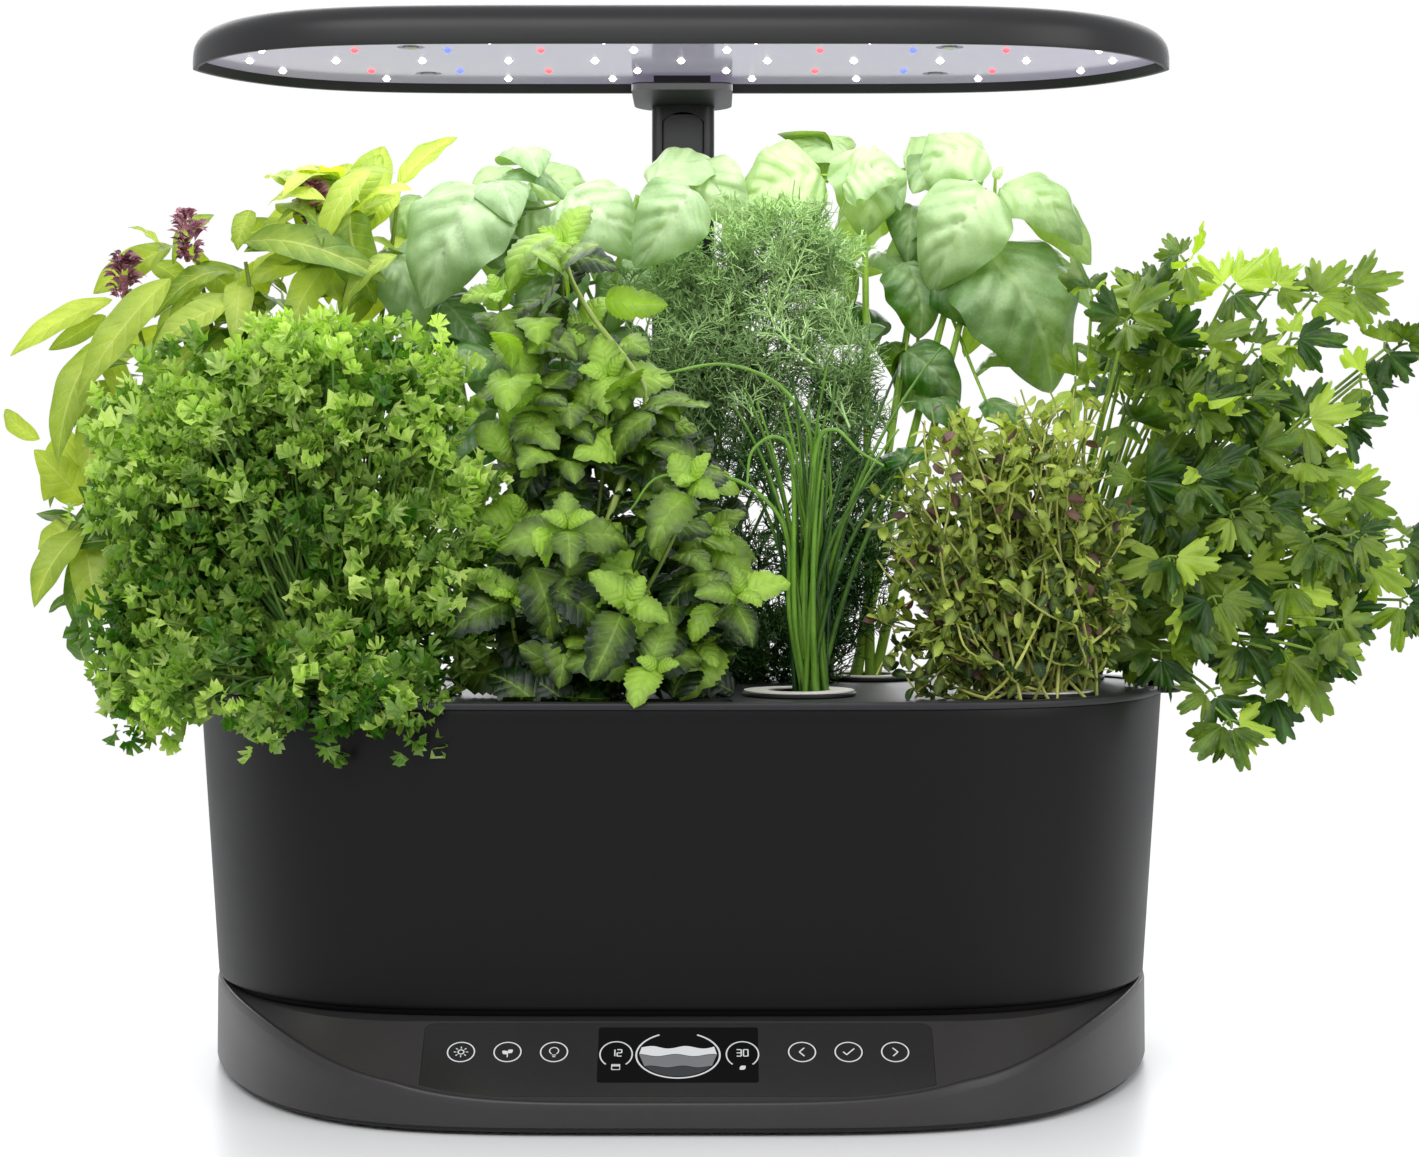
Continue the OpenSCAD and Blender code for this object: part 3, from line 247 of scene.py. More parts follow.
def make_moulded():
    """Moulded plastic: a broad cloud shifts tone and gloss, and a fine spark-eroded grain
    makes the height: h = grain * (noise(size) + 0.4 noise(3 size))."""
    g, t, i, o = group("Moulded", [
        ("Coords", "Vector", None), ("Color", "Color", (0.02, 0.02, 0.02, 1)),
        ("Gloss", "Float", 0.4), ("Size", "Float", 2400.0), ("Grain", "Float", 0.5)],
        [("Color", "Color"), ("Roughness", "Float"), ("Height", "Float")])
    cloud = t.noise(i["Coords"], 14.0, 3.0)
    dust = t.noise(i["Coords"], 320.0, 4.0, 0.7)
    tone = t.math("MULTIPLY_ADD", cloud, 0.22, 0.89)
    tone = t.math("MULTIPLY", tone, t.ramp(dust, 0.35, 0.75, 0.97, 1.06))
    t.put(o["Color"], t.mix(1.0, i["Color"], t.node(
        "ShaderNodeCombineColor", Red=tone, Green=tone, Blue=tone).outputs[0], "MULTIPLY"))
    fine = t.noise(i["Coords"], i["Size"], 1.0)
    finer = t.noise(i["Coords"], t.math("MULTIPLY", i["Size"], 3.0), 0.0)
    t.put(o["Height"], t.math("MULTIPLY", i["Grain"],
                              t.math("MULTIPLY_ADD", finer, 0.4, fine)))
    t.put(o["Roughness"], t.math("MULTIPLY_ADD", t.math("SUBTRACT", cloud, 0.5), 0.16,
                                 i["Gloss"]))
    return g


MOULDED = make_moulded()


def material(name):
    """An empty material with its Tree and its surface socket."""
    m = bpy.data.materials.new(name)
    m.use_nodes = True
    m.node_tree.nodes.clear()
    t = Tree(m.node_tree)
    out = m.node_tree.nodes.new("ShaderNodeOutputMaterial")
    return m, t, out.inputs["Surface"]


def plastic(name, rgb, rough, size=2400.0, grain=0.5, bump=0.12, coat=0.0,
            specular=0.3, metallic=0.0):
    """Moulded plastic, rubber or metal with a procedural grain."""
    m, t, surface = material(name)
    p = use(t, MOULDED, Coords=t.object_coords(), Color=(*lin(*rgb), 1), Gloss=rough,
            Size=size, Grain=grain)
    b = t.node("ShaderNodeBump", Height=p["Height"], Strength=bump, Distance=0.0002)
    s = t.node("ShaderNodeBsdfPrincipled", Base_Color=p["Color"], Roughness=p["Roughness"],
               Normal=b.outputs[0], Metallic=metallic, Coat_Weight=coat, Coat_Roughness=0.08)
    s.inputs["Specular IOR Level"].default_value = specular
    t.put(surface, s.outputs[0])
    return m


def glow(name, rgb, strength, base=(20, 20, 20), rough=0.3):
    """A surface that gives off some light of its own."""
    m, t, surface = material(name)
    grain = t.noise(t.object_coords(), 3000.0)
    c = t.mix(t.ramp(grain, 0.3, 0.7, 0.0, 0.06), lin(*rgb), (1, 1, 1))
    s = t.node("ShaderNodeBsdfPrincipled", Base_Color=lin(*base), Roughness=rough,
               Emission_Color=c, Emission_Strength=strength)
    t.put(surface, s.outputs[0])
    return m


# --------------------------------------------------------------- materials ----

BASE = plastic("base_satin", (47, 45, 45), rough=0.36, bump=0.08)
BOWL = plastic("bowl_satin", (12, 12, 12), rough=0.42, bump=0.10, specular=0.18)
DECK = plastic("deck_satin", (36, 36, 38), rough=0.46, bump=0.12)
HOOD = plastic("hood_satin", (36, 36, 37), rough=0.40, bump=0.08)
PRINT = glow("display_white", (236, 238, 240), 0.80)
PRINT_MID = glow("display_light_grey", (168, 170, 174), 0.42)
PRINT_DIM = glow("display_grey", (104, 106, 110), 0.20)
KEY_PRINT = glow("key_print", (226, 228, 230), 0.9)

for mat, names in (
        (BASE, "base_shell"), (BOWL, "bowl"), (DECK, "grow_deck"),
        (HOOD, "hood_bracket hood_shell"),
        (plastic("mast_satin", (28, 28, 29), rough=0.38, bump=0.08), "mast_sleeve"),
        (plastic("tube_satin", (44, 44, 46), rough=0.34, bump=0.06), "mast_base mast_middle"),
        (plastic("tray_black", (22, 22, 22), rough=0.6),
         "base_tray power_jack bowl_plug bowl_socket"),
        (plastic("panel_gloss", (38, 37, 37), rough=0.2, grain=0.1, bump=0.02, coat=0.3),
         "control_overlay"),
        (plastic("key_gloss", (35, 34, 34), rough=0.24, grain=0.1, bump=0.02, coat=0.2),
         "light_key plant_key tips_key back_key ok_key next_key"),
        (plastic("window_gloss", (6, 6, 7), rough=0.07, grain=0.0, bump=0.0, coat=0.2),
         "display_window"),
        (plastic("basket_black", (30, 30, 30), rough=0.5),
         " ".join(f"grow_basket_{i}" for i in range(1, 10))),
        (plastic("foot_rubber", (20, 20, 20), rough=0.85, size=900.0, grain=1.0), "rubber_feet"),
        (plastic("screw_steel", (170, 170, 172), rough=0.3, metallic=1.0),
         "base_screws hood_screws"),
        (plastic("board_green", (20, 74, 40), rough=0.5), "lcd_module control_board level_sensor"),
        (plastic("lamp_board", (216, 216, 212), rough=0.5), "led_board"),
        (plastic("impeller_white", (214, 214, 208), rough=0.4), "pump_impeller"),
        (plastic("peat_sponge", (54, 38, 24), rough=0.95, size=500.0, grain=1.0, bump=0.9),
         "grow_sponges"),
        (plastic("label_card", (214, 212, 204), rough=0.8, size=1500.0, grain=0.6), "pod_labels"),
        (plastic("filter_foam", (34, 34, 36), rough=0.95, size=700.0, grain=1.0, bump=0.9),
         "pump_filter"),
        (plastic("pump_black", (26, 26, 28), rough=0.45),
         "pump_housing pump_cover riser_tube float_cage"),
        (plastic("float_ivory", (222, 214, 190), rough=0.5), "level_float"),
        # The reflector's emission is painted light: it stands for the LEDs' light falling on the
        # white reflector.
        (glow("reflector_white", (186, 176, 210), 0.26, (178, 172, 192), rough=0.11),
         "hood_reflector"),
        (glow("led_white", (255, 248, 240), 9.0, (200, 200, 190)), "white_leds"),
        (glow("led_red", (255, 60, 70), 3.0, (150, 20, 30)), "red_leds"),
        (glow("led_blue", (70, 90, 255), 3.0, (20, 30, 160)), "blue_leds")):
    for n in names.split():
        if not NODES[n].material_slots:
            NODES[n].data.materials.append(mat)
        for s in NODES[n].material_slots:
            s.material = mat

# ------------------------------------------------------------ plan outlines ----

# Angles round the plan, closer together where the ends turn
half_turn = np.linspace(0, 1, 150, endpoint=False)
eased = half_turn * half_turn * (3 - 2 * half_turn)
TURN = np.concatenate([PI * (0.15 * half_turn + 0.85 * eased),
                       PI + PI * (0.5 * half_turn + 0.5 * eased)])


def plan(half_w, wide, front, back, p, q):
    """x = half_w cos t; y runs from the line y = wide forward by (1 - |cos t|^q)^(1/p)
    and back by (1 - |cos t|^3.5)^(1/3.5)."""
    c, s = np.cos(TURN), np.sin(TURN)
    u = np.abs(c)
    yf = wide - (wide - front) * np.maximum(0, 1 - u ** q) ** (1 / p)
    yb = wide + (back - wide) * np.maximum(0, 1 - u ** 3.5) ** (1 / 3.5)
    return half_w * c, np.where(s < 0, yf, yb)


def base_plan(inset):
    """The base's outline, set in by inset."""
    return plan(206 - inset, 20, -152 + inset, 136 - inset, 1.3, 4.4)


def bowl_plan(z, inset):
    """The bowl's outline at the height z, set in by inset; it flares from 41 to 164."""
    f = max(0, (z - 41) / 123)
    return plan(203 + 8 * f - inset, 5, -104 - 14.5 * f + inset, 94 + 8 * f - inset, 1.4, 5)


def ring(xy, z):
    """An outline as points at the height z."""
    return np.stack([xy[0], xy[1], np.broadcast_to(z, xy[0].shape)], -1)


# ------------------------------------------------------------------- bowl ----

outer = [(34, 4.6), (34.8, 4), (41.2, 4), (41.0, 1), (41.3, 0.35), (42, 0.05), (43, 0)]
outer += [(z, 0) for z in (50, 62, 80, 100, 120, 140, 158, 163.2)] + [(164, 0.4)]
inner = [(164, 2.0), (163.4, 2.4)] + [(z, 2.4) for z in (150, 120, 90, 60, 52)]
inner += [(48, 2.9), (43.5, 4.8), (40, 6.2), (38.3, 7.6), (37, 9.6), (36.5, 11.4)]
wall = loft([ring(bowl_plan(z, i), z) for z, i in outer + inner])
wear(mesh_object("bowl_wall", *wall, BOWL, sharp=40), "bowl", "satin_black", "bowl")

# ------------------------------------------------------------------- base ----

# The panel's lower edge, its tilt, and the height of the ledge under the bowl
FOOT_Y, FOOT_Z, TILT, LEDGE_Z = -148.6, 13.44, math.radians(34.4), 38.5
EDGE_RUN = 9.5


def lip_top(y):
    """Height of the lip: the panel's plane for 9.5 mm, then an ease up to 40 mm:
    z = 40 - (40 - z0) exp(-((d - 9.5) / 39.5)^1.2)."""
    d, rise = y - FOOT_Y, math.tan(TILT)
    run = FOOT_Z + rise * EDGE_RUN
    return np.where(d <= EDGE_RUN, FOOT_Z + rise * d,
                    40 - (40 - run) * np.exp(-(np.maximum(0, d - EDGE_RUN) / 39.5) ** 1.2))


def skirt(inset, fall, low=0.0):
    """The skirt's ring, fall below the lip; low blends it towards the bottom edge."""
    z = lip_top(base_plan(3.4)[1]) - fall
    return ring(base_plan(inset), z * (1 - low) + 4.4 * low)


def ledge(inset, front_y):
    """The ledge's inner outline: the line y = front_y in the middle of the front, eased
    into the bowl's outline at the ends."""
    x, y = bowl_plan(41, inset)
    u = np.clip((np.abs(x) - 106) / 70, 0, 1)
    w = np.where(np.sin(TURN) < 0, 1 - u * u * (3 - 2 * u), 0)
    return x, y + (front_y - y) * w


bead = spline([(0.25, 3.4), (0.5, 2.2), (1.0, 0.4), (1.8, -0.2), (2.6, -0.1), (3.4, 0)], 3)
lip, top = skirt(3.4, 0), ring(ledge(-0.15, -112), LEDGE_Z)
rings = [ring(base_plan(0.9), 3.4), ring(base_plan(0.2), 3.8), ring(base_plan(0), 4.6)]
rings += [skirt(0.25 * k, 3.4 * k, 1 - k) for k in (0.35, 0.7)]
rings += [skirt(i, f) for i, f in bead]
rings += [lip * (1 - k) + top * k for k in (0.03, 0.3, 0.6, 0.97)]
rings += [top, ring(bowl_plan(41, 1), LEDGE_Z), ring(bowl_plan(41, 3.6), LEDGE_Z),
          ring(bowl_plan(41, 3.6), 34)]
base = mesh_object("base_form", *loft(rings), BASE, sharp=32)


def on_panel(x, s, h):
    """A point of the sloping panel: x across, s up the slope, h off its surface."""
    x, s, h = np.broadcast_arrays(np.asarray(x, float), s, h)
    return np.stack([x, FOOT_Y + s * math.cos(TILT) - h * math.sin(TILT),
                     FOOT_Z + s * math.sin(TILT) + h * math.cos(TILT)], -1)


def round_rect(w, d, r, n=8):
    """A rectangle w by d with corners of the radius r, n points to a corner."""
    a = np.linspace(0, PI / 2, n)
    pts = []
    for k, (sx, sy) in enumerate([(1, 1), (-1, 1), (-1, -1), (1, -1)]):
        b = a + k * PI / 2
        pts.append(np.stack([sx * (w / 2 - r) + r * np.cos(b), sy * (d / 2 - r) + r * np.sin(b)],
                            -1))
    return np.vstack(pts)


# The pocket for the overlay and what is under it, kept off the skirt's front wall
r = round_rect(203.3, 40.3, 4.15)
pocket = loft([on_panel(r[:, 0], 23.0 + r[:, 1], h) for h in (-8, 4)])
front = ring(base_plan(4.45), 0)
plug = mesh_object("pocket", *pocket, BASE)
trim = mesh_object("trim", *loft([front + [0, 0, 2], front + [0, 0, 60]]), BASE)
me = boolean(plug, "INTERSECT", trim).to_mesh()
co = np.array([v.co[:] for v in me.vertices]) * 1000
cut(base, [(co, [tuple(p.vertices) for p in me.polygons])])
for o in (plug, trim):
    bpy.data.objects.remove(o)
# The mast's collar
collar = []
for z, g in ((36, 0), (41.9, 0), (42.4, -0.2), (42.5, -0.6)):
    r = round_rect(29.7 + 2 * g, 20 + 2 * g, 5 + g)
    collar.append(np.column_stack([r[:, 0], r[:, 1] + 115, np.full(len(r), z)]))
wear(mesh_object("mast_collar", *loft(collar), BASE, sharp=35), "base", "matte_black")
wear(base, "base", "matte_black", "base_shell")

# ------------------------------------------------------------------- deck ----

deck_rings = [(164, -0.2), (164.25, -0.6), (164.8, -0.8), (166.0, -0.8), (166.6, -0.55),
              (167, 0.1), (167, 5.7), (166.9, 6), (166, 6)]
deck = mesh_object("deck_plate", *loft(
    [ring(bowl_plan(164, i), z) for z, i in deck_rings]), DECK, sharp=35)
PODS = [(x, -60) for x in (-150, -50, 50, 150)] + [(x, 50) for x in (-168, -84, 0, 84, 168)]
POD_R = 21.4
a = np.linspace(0, 2 * PI, 64, endpoint=False)
holes = [np.stack([x + POD_R * np.cos(a), y + POD_R * np.sin(a), 0 * a], -1) for x, y in PODS]
# The last one is the fill port
holes.append(np.insert(round_rect(44, 20, 6), 2, 0, axis=1) + [0, -90, 0])
wear(cut(deck, [loft([c + [0, 0, 160], c + [0, 0, 170]]) for c in holes]), "deck", "satin_black",
     "grow_deck")


def finger_tab(side):
    """A grip beyond the rim: a half rounded plate with a soft edge and a short lip."""
    h = round_rect(31, 48, 9, 10)
    h = h[h[:, 0] >= -0.01]
    h = np.vstack([[-1.5, 24], [-1.5, -24], h[h[:, 1] < 0][np.argsort(h[h[:, 1] < 0][:, 1])],
                   h[h[:, 1] >= 0]])
    rows = []
    for z, g in ((164, 0.5), (164.5, 0.1), (165, 0), (166.2, 0), (166.7, 0.3), (167, 0.9)):
        p = h * [1 - g / 15.5, 1 - g / 24]
        rows.append(np.column_stack([side * (203 + p[:, 0]), 9 + p[:, 1], np.full(len(p), z)]))
    if side < 0:
        rows = [r[::-1] for r in rows]
    return loft(rows)


for side, label in ((1, "right"), (-1, "left")):
    tab = mesh_object("tab_" + label, *finger_tab(side), DECK, sharp=50)
    wear(tab, "deck", "satin_black")

# ------------------------------------------------------------------- hood ----


def hood_ring(z, inset):
    """The hood's plan: y = b (1 - |x / a|^6)^(1 / 1.3)."""
    t = np.linspace(0, 2 * PI, 320, endpoint=False)
    c, s = np.cos(t), np.sin(t)
    y = 5.5 + (82 - inset) * np.sign(s) * np.maximum(0, 1 - np.abs(c) ** 6) ** (1 / 1.3)
    return np.stack([(215 - inset) * c, y, np.full_like(c, z)], -1)


shell = spline([(437.0, 0.8), (437.7, 0.0), (445.3, 0.4), (449.95, 2.6), (453.1, 6.5),
                (454.75, 12.0), (455.5, 20.0)], 4)
inside = [(452.9, 14.6), (449.9, 7.6), (445.3, 3.0), (438, 2.6), (437.0, 2.2)]
hood = loft([hood_ring(z, i) for z, i in [*inside, *shell, (455.5, 60)]])
wear(mesh_object("hood_form", *hood, HOOD, sharp=40), "lamp", "satin_black", "hood_shell")

# -------------------------------------------------------- display and keys ----

# Prints lie this far off the panel
PRINT_H = 0.06


def band(lower, upper):
    """The strip between two lines of equal point counts on the panel."""
    v = np.concatenate([upper, lower])
    return on_panel(v[:, 0], v[:, 1], PRINT_H), quads(2, len(lower))


def stroke(pts, width):
    """A flat band of the given width along points (x, s) on the panel."""
    p = np.asarray(pts, float)
    d = np.gradient(p, axis=0)
    d /= np.maximum(1e-9, np.linalg.norm(d, axis=1, keepdims=True))
    n = np.stack([-d[:, 1], d[:, 0]], -1) * width / 2
    return band(p - n, p + n)


def fill(pts):
    """One flat face with the outline pts (x, s) on the panel."""
    p = np.asarray(pts, float)
    return on_panel(p[:, 0], p[:, 1], PRINT_H), [tuple(range(len(p)))]


def arc(x, s, rx, rs, a0, a1, n):
    """Points (x, s) of an elliptic arc between two angles in degrees."""
    a = np.radians(np.linspace(a0, a1, n))
    return np.stack([x + rx * np.cos(a), s + rs * np.sin(a)], -1)


def printed(name, parts, mat, body):
    """One thin piece made of printed shapes, with every face turned outward."""
    verts, faces, base = [], [], 0
    out = on_panel(0, 0, 1) - on_panel(0, 0, 0)
    for v, f in parts:
        verts.append(v)
        for face in f:
            face = [int(i) for i in face]
            q = v[face]
            c = q.mean(0)
            area = sum(np.cross(q[k] - c, q[(k + 1) % len(q)] - c) for k in range(len(q)))
            if area @ out < 0:
                face = face[::-1]
            faces.append(tuple(i + base for i in face))
        base += len(v)
    ob = mesh_object(name, np.vstack(verts), faces, mat)
    return wear(ob, body, "gloss_black")


SEVEN = {"0": "abcdef", "1": "bc", "2": "abged", "3": "abgcd"}


def digit(ch, x, s, w, l, width):
    """A number drawn in seven strokes, its lower left corner at (x, s)."""
    at = {"a": [(0, l), (w, l)], "b": [(w, l), (w, l / 2)], "c": [(w, l / 2), (w, 0)],
          "d": [(0, 0), (w, 0)], "e": [(0, l / 2), (0, 0)], "f": [(0, l), (0, l / 2)],
          "g": [(0, l / 2), (w, l / 2)]}
    return [stroke(np.array(at[k]) + (x, s), width) for k in SEVEN[ch]]


# The middles of the window, the gauge and the key row, up the slope
WIN = 25.6
GAUGE = WIN - 0.2
KEY_ROW = 27.1
bright, mid, dim = [], [], []
# Water gauge: an open ring with three wavy bands in it
rx, rs = 16.6, 12.6
bright.append(stroke(arc(0, GAUGE, rx, rs, 117, 423, 72), 0.7))
xs = np.linspace(-1, 1, 49)


def wave(level, amp, phase):
    """A wavy line across the gauge at a level of -1 to 1, kept inside the ring."""
    s = GAUGE + rs * level + amp * np.sin(xs * PI * 2.1 + phase)
    half = 0.93 * rx * np.sqrt(np.maximum(0.02, 1 - ((s - GAUGE) / rs) ** 2))
    return np.stack([xs * half, s], -1)


low = arc(0, GAUGE, 0.93 * rx, 0.93 * rs, 212, 328, 49)
w1, w2, w3 = wave(-0.52, 0.5, 0.6), wave(-0.02, 0.6, 2.0), wave(0.34, 0.7, 0.2)
dim.append(band(low, w1))
mid.append(band(w1 + (0, 0.25), w2))
bright.append(band(w2 + (0, 0.25), w3))
# Counters at each side: a ring open at the bottom with a number and a sign in it
for sx, num in ((-24.6, "12"), (25.6, "30")):
    cs = WIN + 0.2
    bright.append(stroke(arc(sx, cs, 6.4, 7.0, -52, 232, 60), 0.55))
    for k, ch in enumerate(num):
        bright += digit(ch, sx - 2.3 + 2.7 * k, cs - 1.0, 1.8, 3.6, 0.5)
leaf_a = np.linspace(0, PI, 14)
leaf = np.vstack([np.stack([3.2 * leaf_a / PI, 1.15 * np.sin(leaf_a)], -1),
                  np.stack([3.2 * (1 - leaf_a / PI), -1.15 * np.sin(leaf_a)], -1)[1:-1]])
rot = np.array([[math.cos(0.7), math.sin(0.7)], [-math.sin(0.7), math.cos(0.7)]])
bright.append(fill(leaf @ rot + (24.4, WIN - 8.2)))
box = np.array([(-1.6, -1.4), (1.6, -1.4), (1.6, 1.4), (-1.6, 1.4), (-1.6, -1.4)])
bright.append(stroke(box + (-24.6, WIN - 6.8), 0.45))
bright.append(stroke(np.array([(-1.6, 0.7), (1.6, 0.7)]) + (-24.6, WIN - 6.8), 0.7))
for end, parts, mat in (("", bright, PRINT), ("_mid", mid, PRINT_MID), ("_dim", dim, PRINT_DIM)):
    printed("display_print" + end, parts, mat, "base")

KEYS = {"light_key": -86.3, "plant_key": -67.8, "tips_key": -49.3,
        "back_key": 49.3, "ok_key": 67.8, "next_key": 86.3}


def key_sign(key, x, s):
    """The sign on a key: sun, sprout, bulb, and left, tick and right."""
    if key == "light_key":
        return [stroke(arc(x, s, 1.15, 1.15, 0, 360, 28), 0.5)] + [
            stroke([(x + 1.9 * math.cos(b), s + 1.9 * math.sin(b)),
                    (x + 2.9 * math.cos(b), s + 2.9 * math.sin(b))], 0.45)
            for b in np.arange(8) * PI / 4]
    if key == "plant_key":
        up = leaf @ rot
        return [stroke([(x, s - 2.9), (x, s - 0.6)], 0.45), fill(up * 0.9 + (x - 0.1, s - 0.6)),
                fill((up * (-0.9, 0.9))[::-1] + (x + 0.1, s - 1.2))]
    if key == "tips_key":
        return [stroke(arc(x, s + 0.6, 1.8, 1.9, -60, 240, 30), 0.45),
                stroke([(x - 0.8, s - 1.7), (x + 0.8, s - 1.7)], 0.45),
                stroke([(x - 0.6, s - 2.6), (x + 0.6, s - 2.6)], 0.45)]
    if key == "ok_key":
        return [stroke([(x - 2.2, s + 0.1), (x - 0.7, s - 1.6)], 0.55),
                stroke([(x - 0.9, s - 1.6), (x + 2.3, s + 1.9)], 0.55)]
    k = -1 if key == "back_key" else 1
    return [stroke([(x - k * 0.9, s + 2.3), (x + k * 1.1, s)], 0.55),
            stroke([(x + k * 1.1, s), (x - k * 0.9, s - 2.3)], 0.55)]


for key, x in KEYS.items():
    border = stroke(arc(x, KEY_ROW, 5.35, 5.35, 0, 360, 72), 0.55)
    printed(key + "_print", [border] + key_sign(key, x, KEY_ROW), KEY_PRINT, key)

# ------------------------------------------------------------------ plants ----

# Stems start at this height in the pods, the deck's top is at 167
ROOT_Z = 166
# The room for leaves: beside the bowl, and under the lowered lamp
REACH_LOW, REACH_HIGH = (-318, -158, 118), (338, 142, 417.5)
# The deck's plan, |x / 212|^2.5 + |(y + 8.2) / 111|^2.5 = 1
DECK_MID, DECK_HALF, DECK_POWER = (0, -8.2), (212, 111), 2.5


def unit(v):
    """Rows of v at a length of 1."""
    return v / np.maximum(1e-9, np.linalg.norm(v, axis=-1, keepdims=True))


def per_leaf(x, n, shape=()):
    """x as floats, the same for each of n leaves where it is given once."""
    return np.broadcast_to(np.asarray(x, float), (n, *shape))


def grid_uv(u, v, n):
    """n copies of the grid of u by v as UVs."""
    grid = np.stack(np.meshgrid(u, v, indexing="ij"), -1)
    return np.broadcast_to(grid, (n, *grid.shape))


# Powers a and b of a leaf's half width: w(u) = u^a (1 - u)^b, scaled to a peak of 1
FORMS = {"ovate": (0.46, 0.66), "lance": (0.72, 0.92), "oval": (0.48, 0.52),
         "heart": (0.34, 0.70)}


def blades(rng, base, tip, face, width, form, nu, nv, arch, fold, curl=0.0, pucker=0.0,
           veins=6, slant=1.2, teeth=0, bite=0.08, wave=0.0, roll=0.0):
    """Leaves as grids (n, nu + 1, nv + 1, 3). The midrib bows by arch and droops by
    curl u^3, the halves fold up by the angle fold, the blade puffs between its side veins
    by pucker |sin(pi (veins u - slant |v|^0.8))|^0.7 (1 - v^2), more here and less there,
    and the edge ripples by wave, rolls down by roll v^2 and has teeth as deep as bite."""
    base, tip = np.atleast_2d(base).astype(float), np.atleast_2d(tip).astype(float)
    n = len(base)
    face = unit(per_leaf(face, n, (3,)))
    width, arch, fold, curl = (per_leaf(a, n)[:, None] for a in (width, arch, fold, curl))
    fold = fold[..., None]
    span = tip - base
    length = np.linalg.norm(span, axis=1)[:, None]
    c = unit(span)
    side = unit(np.cross(face, c))
    up = np.cross(c, side)
    a, b = FORMS[form]
    u, v = np.linspace(0, 1, nu + 1), np.linspace(-1, 1, nv + 1)
    w = (u + 1e-6) ** a * (1 - u + 1e-6) ** b
    half = 0.5 * width[..., None] * (w / w.max())[None, :, None] * np.ones(nv + 1)
    if teeth:
        saw = (u * teeth) % 1.0
        half = half * (1 + bite * (0.5 - saw)[None, :, None] * 2 * np.abs(v) ** 4)
    rise = (arch * (4 * u * (1 - u)) - curl * u ** 3) * length
    slope = arch * 4 * (1 - 2 * u) - 3 * curl * u ** 2
    mid = base[:, None] + c[:, None] * (u * length)[..., None] + up[:, None] * rise[..., None]
    nrm = unit(up[:, None] - c[:, None] * slope[..., None])
    phase = rng.uniform(0, 6.28, n)[:, None, None]
    h = half * (np.abs(v) * np.sin(fold) - 0.35 * v ** 2 * np.sin(fold))
    u, v = u[None, :, None], v[None, None, :]
    patch = (0.75 + 0.45 * np.sin(9 * u + phase) * np.cos(5 * v + 2 * phase)
             + 0.2 * np.sin(23 * u - 9 * v + 3 * phase))
    h = h + (pucker * half * patch * (1 - v ** 2)
             * np.abs(np.sin(PI * (veins * u - slant * np.abs(v) ** 0.8))) ** 0.7)
    h = h - roll * half * v ** 2
    h = h + wave * half * v ** 2 * np.sin(2 * PI * 2.6 * u + phase + 1.5 * v)
    pts = (mid[:, :, None] + side[:, None, None] * (half * v * np.cos(fold))[..., None]
           + nrm[:, :, None] * h[..., None])
    return pts, grid_uv(u.ravel(), (v.ravel() + 1) / 2, n)


def fans(rng, base, tip, face, spread, lobes, depth, teeth, bite, ruffle, waves, droop, nr, nt,
         wide=1.0):
    """Lobed leaflets as polar grids round their stalk:
    r(t) = L env(t) (1 - depth (1 - |cos(lobes t / 2)|)) (1 - bite (1 - |sin(teeth t)|)),
    env(t) = 0.68 + 0.32 cos t,
    dished by droop r^2 and ruffled by ruffle r^2 sin(waves t)."""
    n = len(base)
    span = tip - base
    length = np.linalg.norm(span, axis=1)[:, None, None]
    c = unit(span)
    side = unit(np.cross(unit(face), c))
    up = np.cross(c, side)
    lim = math.radians(spread)
    th = np.linspace(-lim, lim, nt + 1)
    t = th * PI / (2 * lim)
    r = ((0.68 + 0.32 * np.cos(th / lim * PI / 2)) * (1 - depth * (1 - np.abs(np.cos(lobes * t))))
         * (1 - bite * (1 - np.abs(np.sin(teeth * t)))))
    k = np.linspace(0.04, 1, nr + 1)[:, None]
    reach = (k * (1 + (r - 1) * k ** 0.5))[None] * length
    phase = rng.uniform(0, 6.28, n)[:, None, None]
    z = length * (-droop * k ** 2 + ruffle * k ** 2 * np.sin(waves * th * PI / lim + phase)
                  + 0.05 * k * np.abs(np.sin(lobes * t)))
    pts = (base[:, None, None] + c[:, None, None] * (reach * np.cos(th))[..., None]
           + side[:, None, None] * (reach * wide * np.sin(th))[..., None]
           + up[:, None, None] * z[..., None])
    return pts, grid_uv(k.ravel(), (th / lim + 1) / 2, n)


def bends(a, b, pull, m):
    """Curves (n, m, 3) from a to b, drawn towards a point pull off the middle."""
    a, b, pull = (np.atleast_2d(np.asarray(x, float)) for x in (a, b, pull))
    t = np.linspace(0, 1, m)[None, :, None]
    q = (a + b) / 2 + pull
    return (1 - t) ** 2 * a[:, None] + 2 * t * (1 - t) * q[:, None] + t * t * b[:, None]


def tubes(lines, r0, r1, sides):
    """Tapered tubes (n, m, sides + 1, 3) along curves (n, m, 3)."""
    n, m, _ = lines.shape
    d = unit(np.gradient(lines, axis=1))
    ref = np.where(np.abs(d[..., 1:2]) < 0.8, [[[0, 1.0, 0]]], [[[1.0, 0, 0]]])
    s = unit(np.cross(d, ref))
    q = np.cross(d, s)
    r0, r1 = per_leaf(r0, n)[:, None], per_leaf(r1, n)[:, None]
    r = r0 + (r1 - r0) * np.linspace(0, 1, m)[None]
    a = np.linspace(0, 2 * PI, sides + 1)
    pts = (lines[:, :, None] + r[..., None, None] * (s[:, :, None] * np.cos(a)[:, None]
                                                      - q[:, :, None] * np.sin(a)[:, None]))
    return pts, grid_uv(np.linspace(0, 1, m), a / (2 * PI), n)


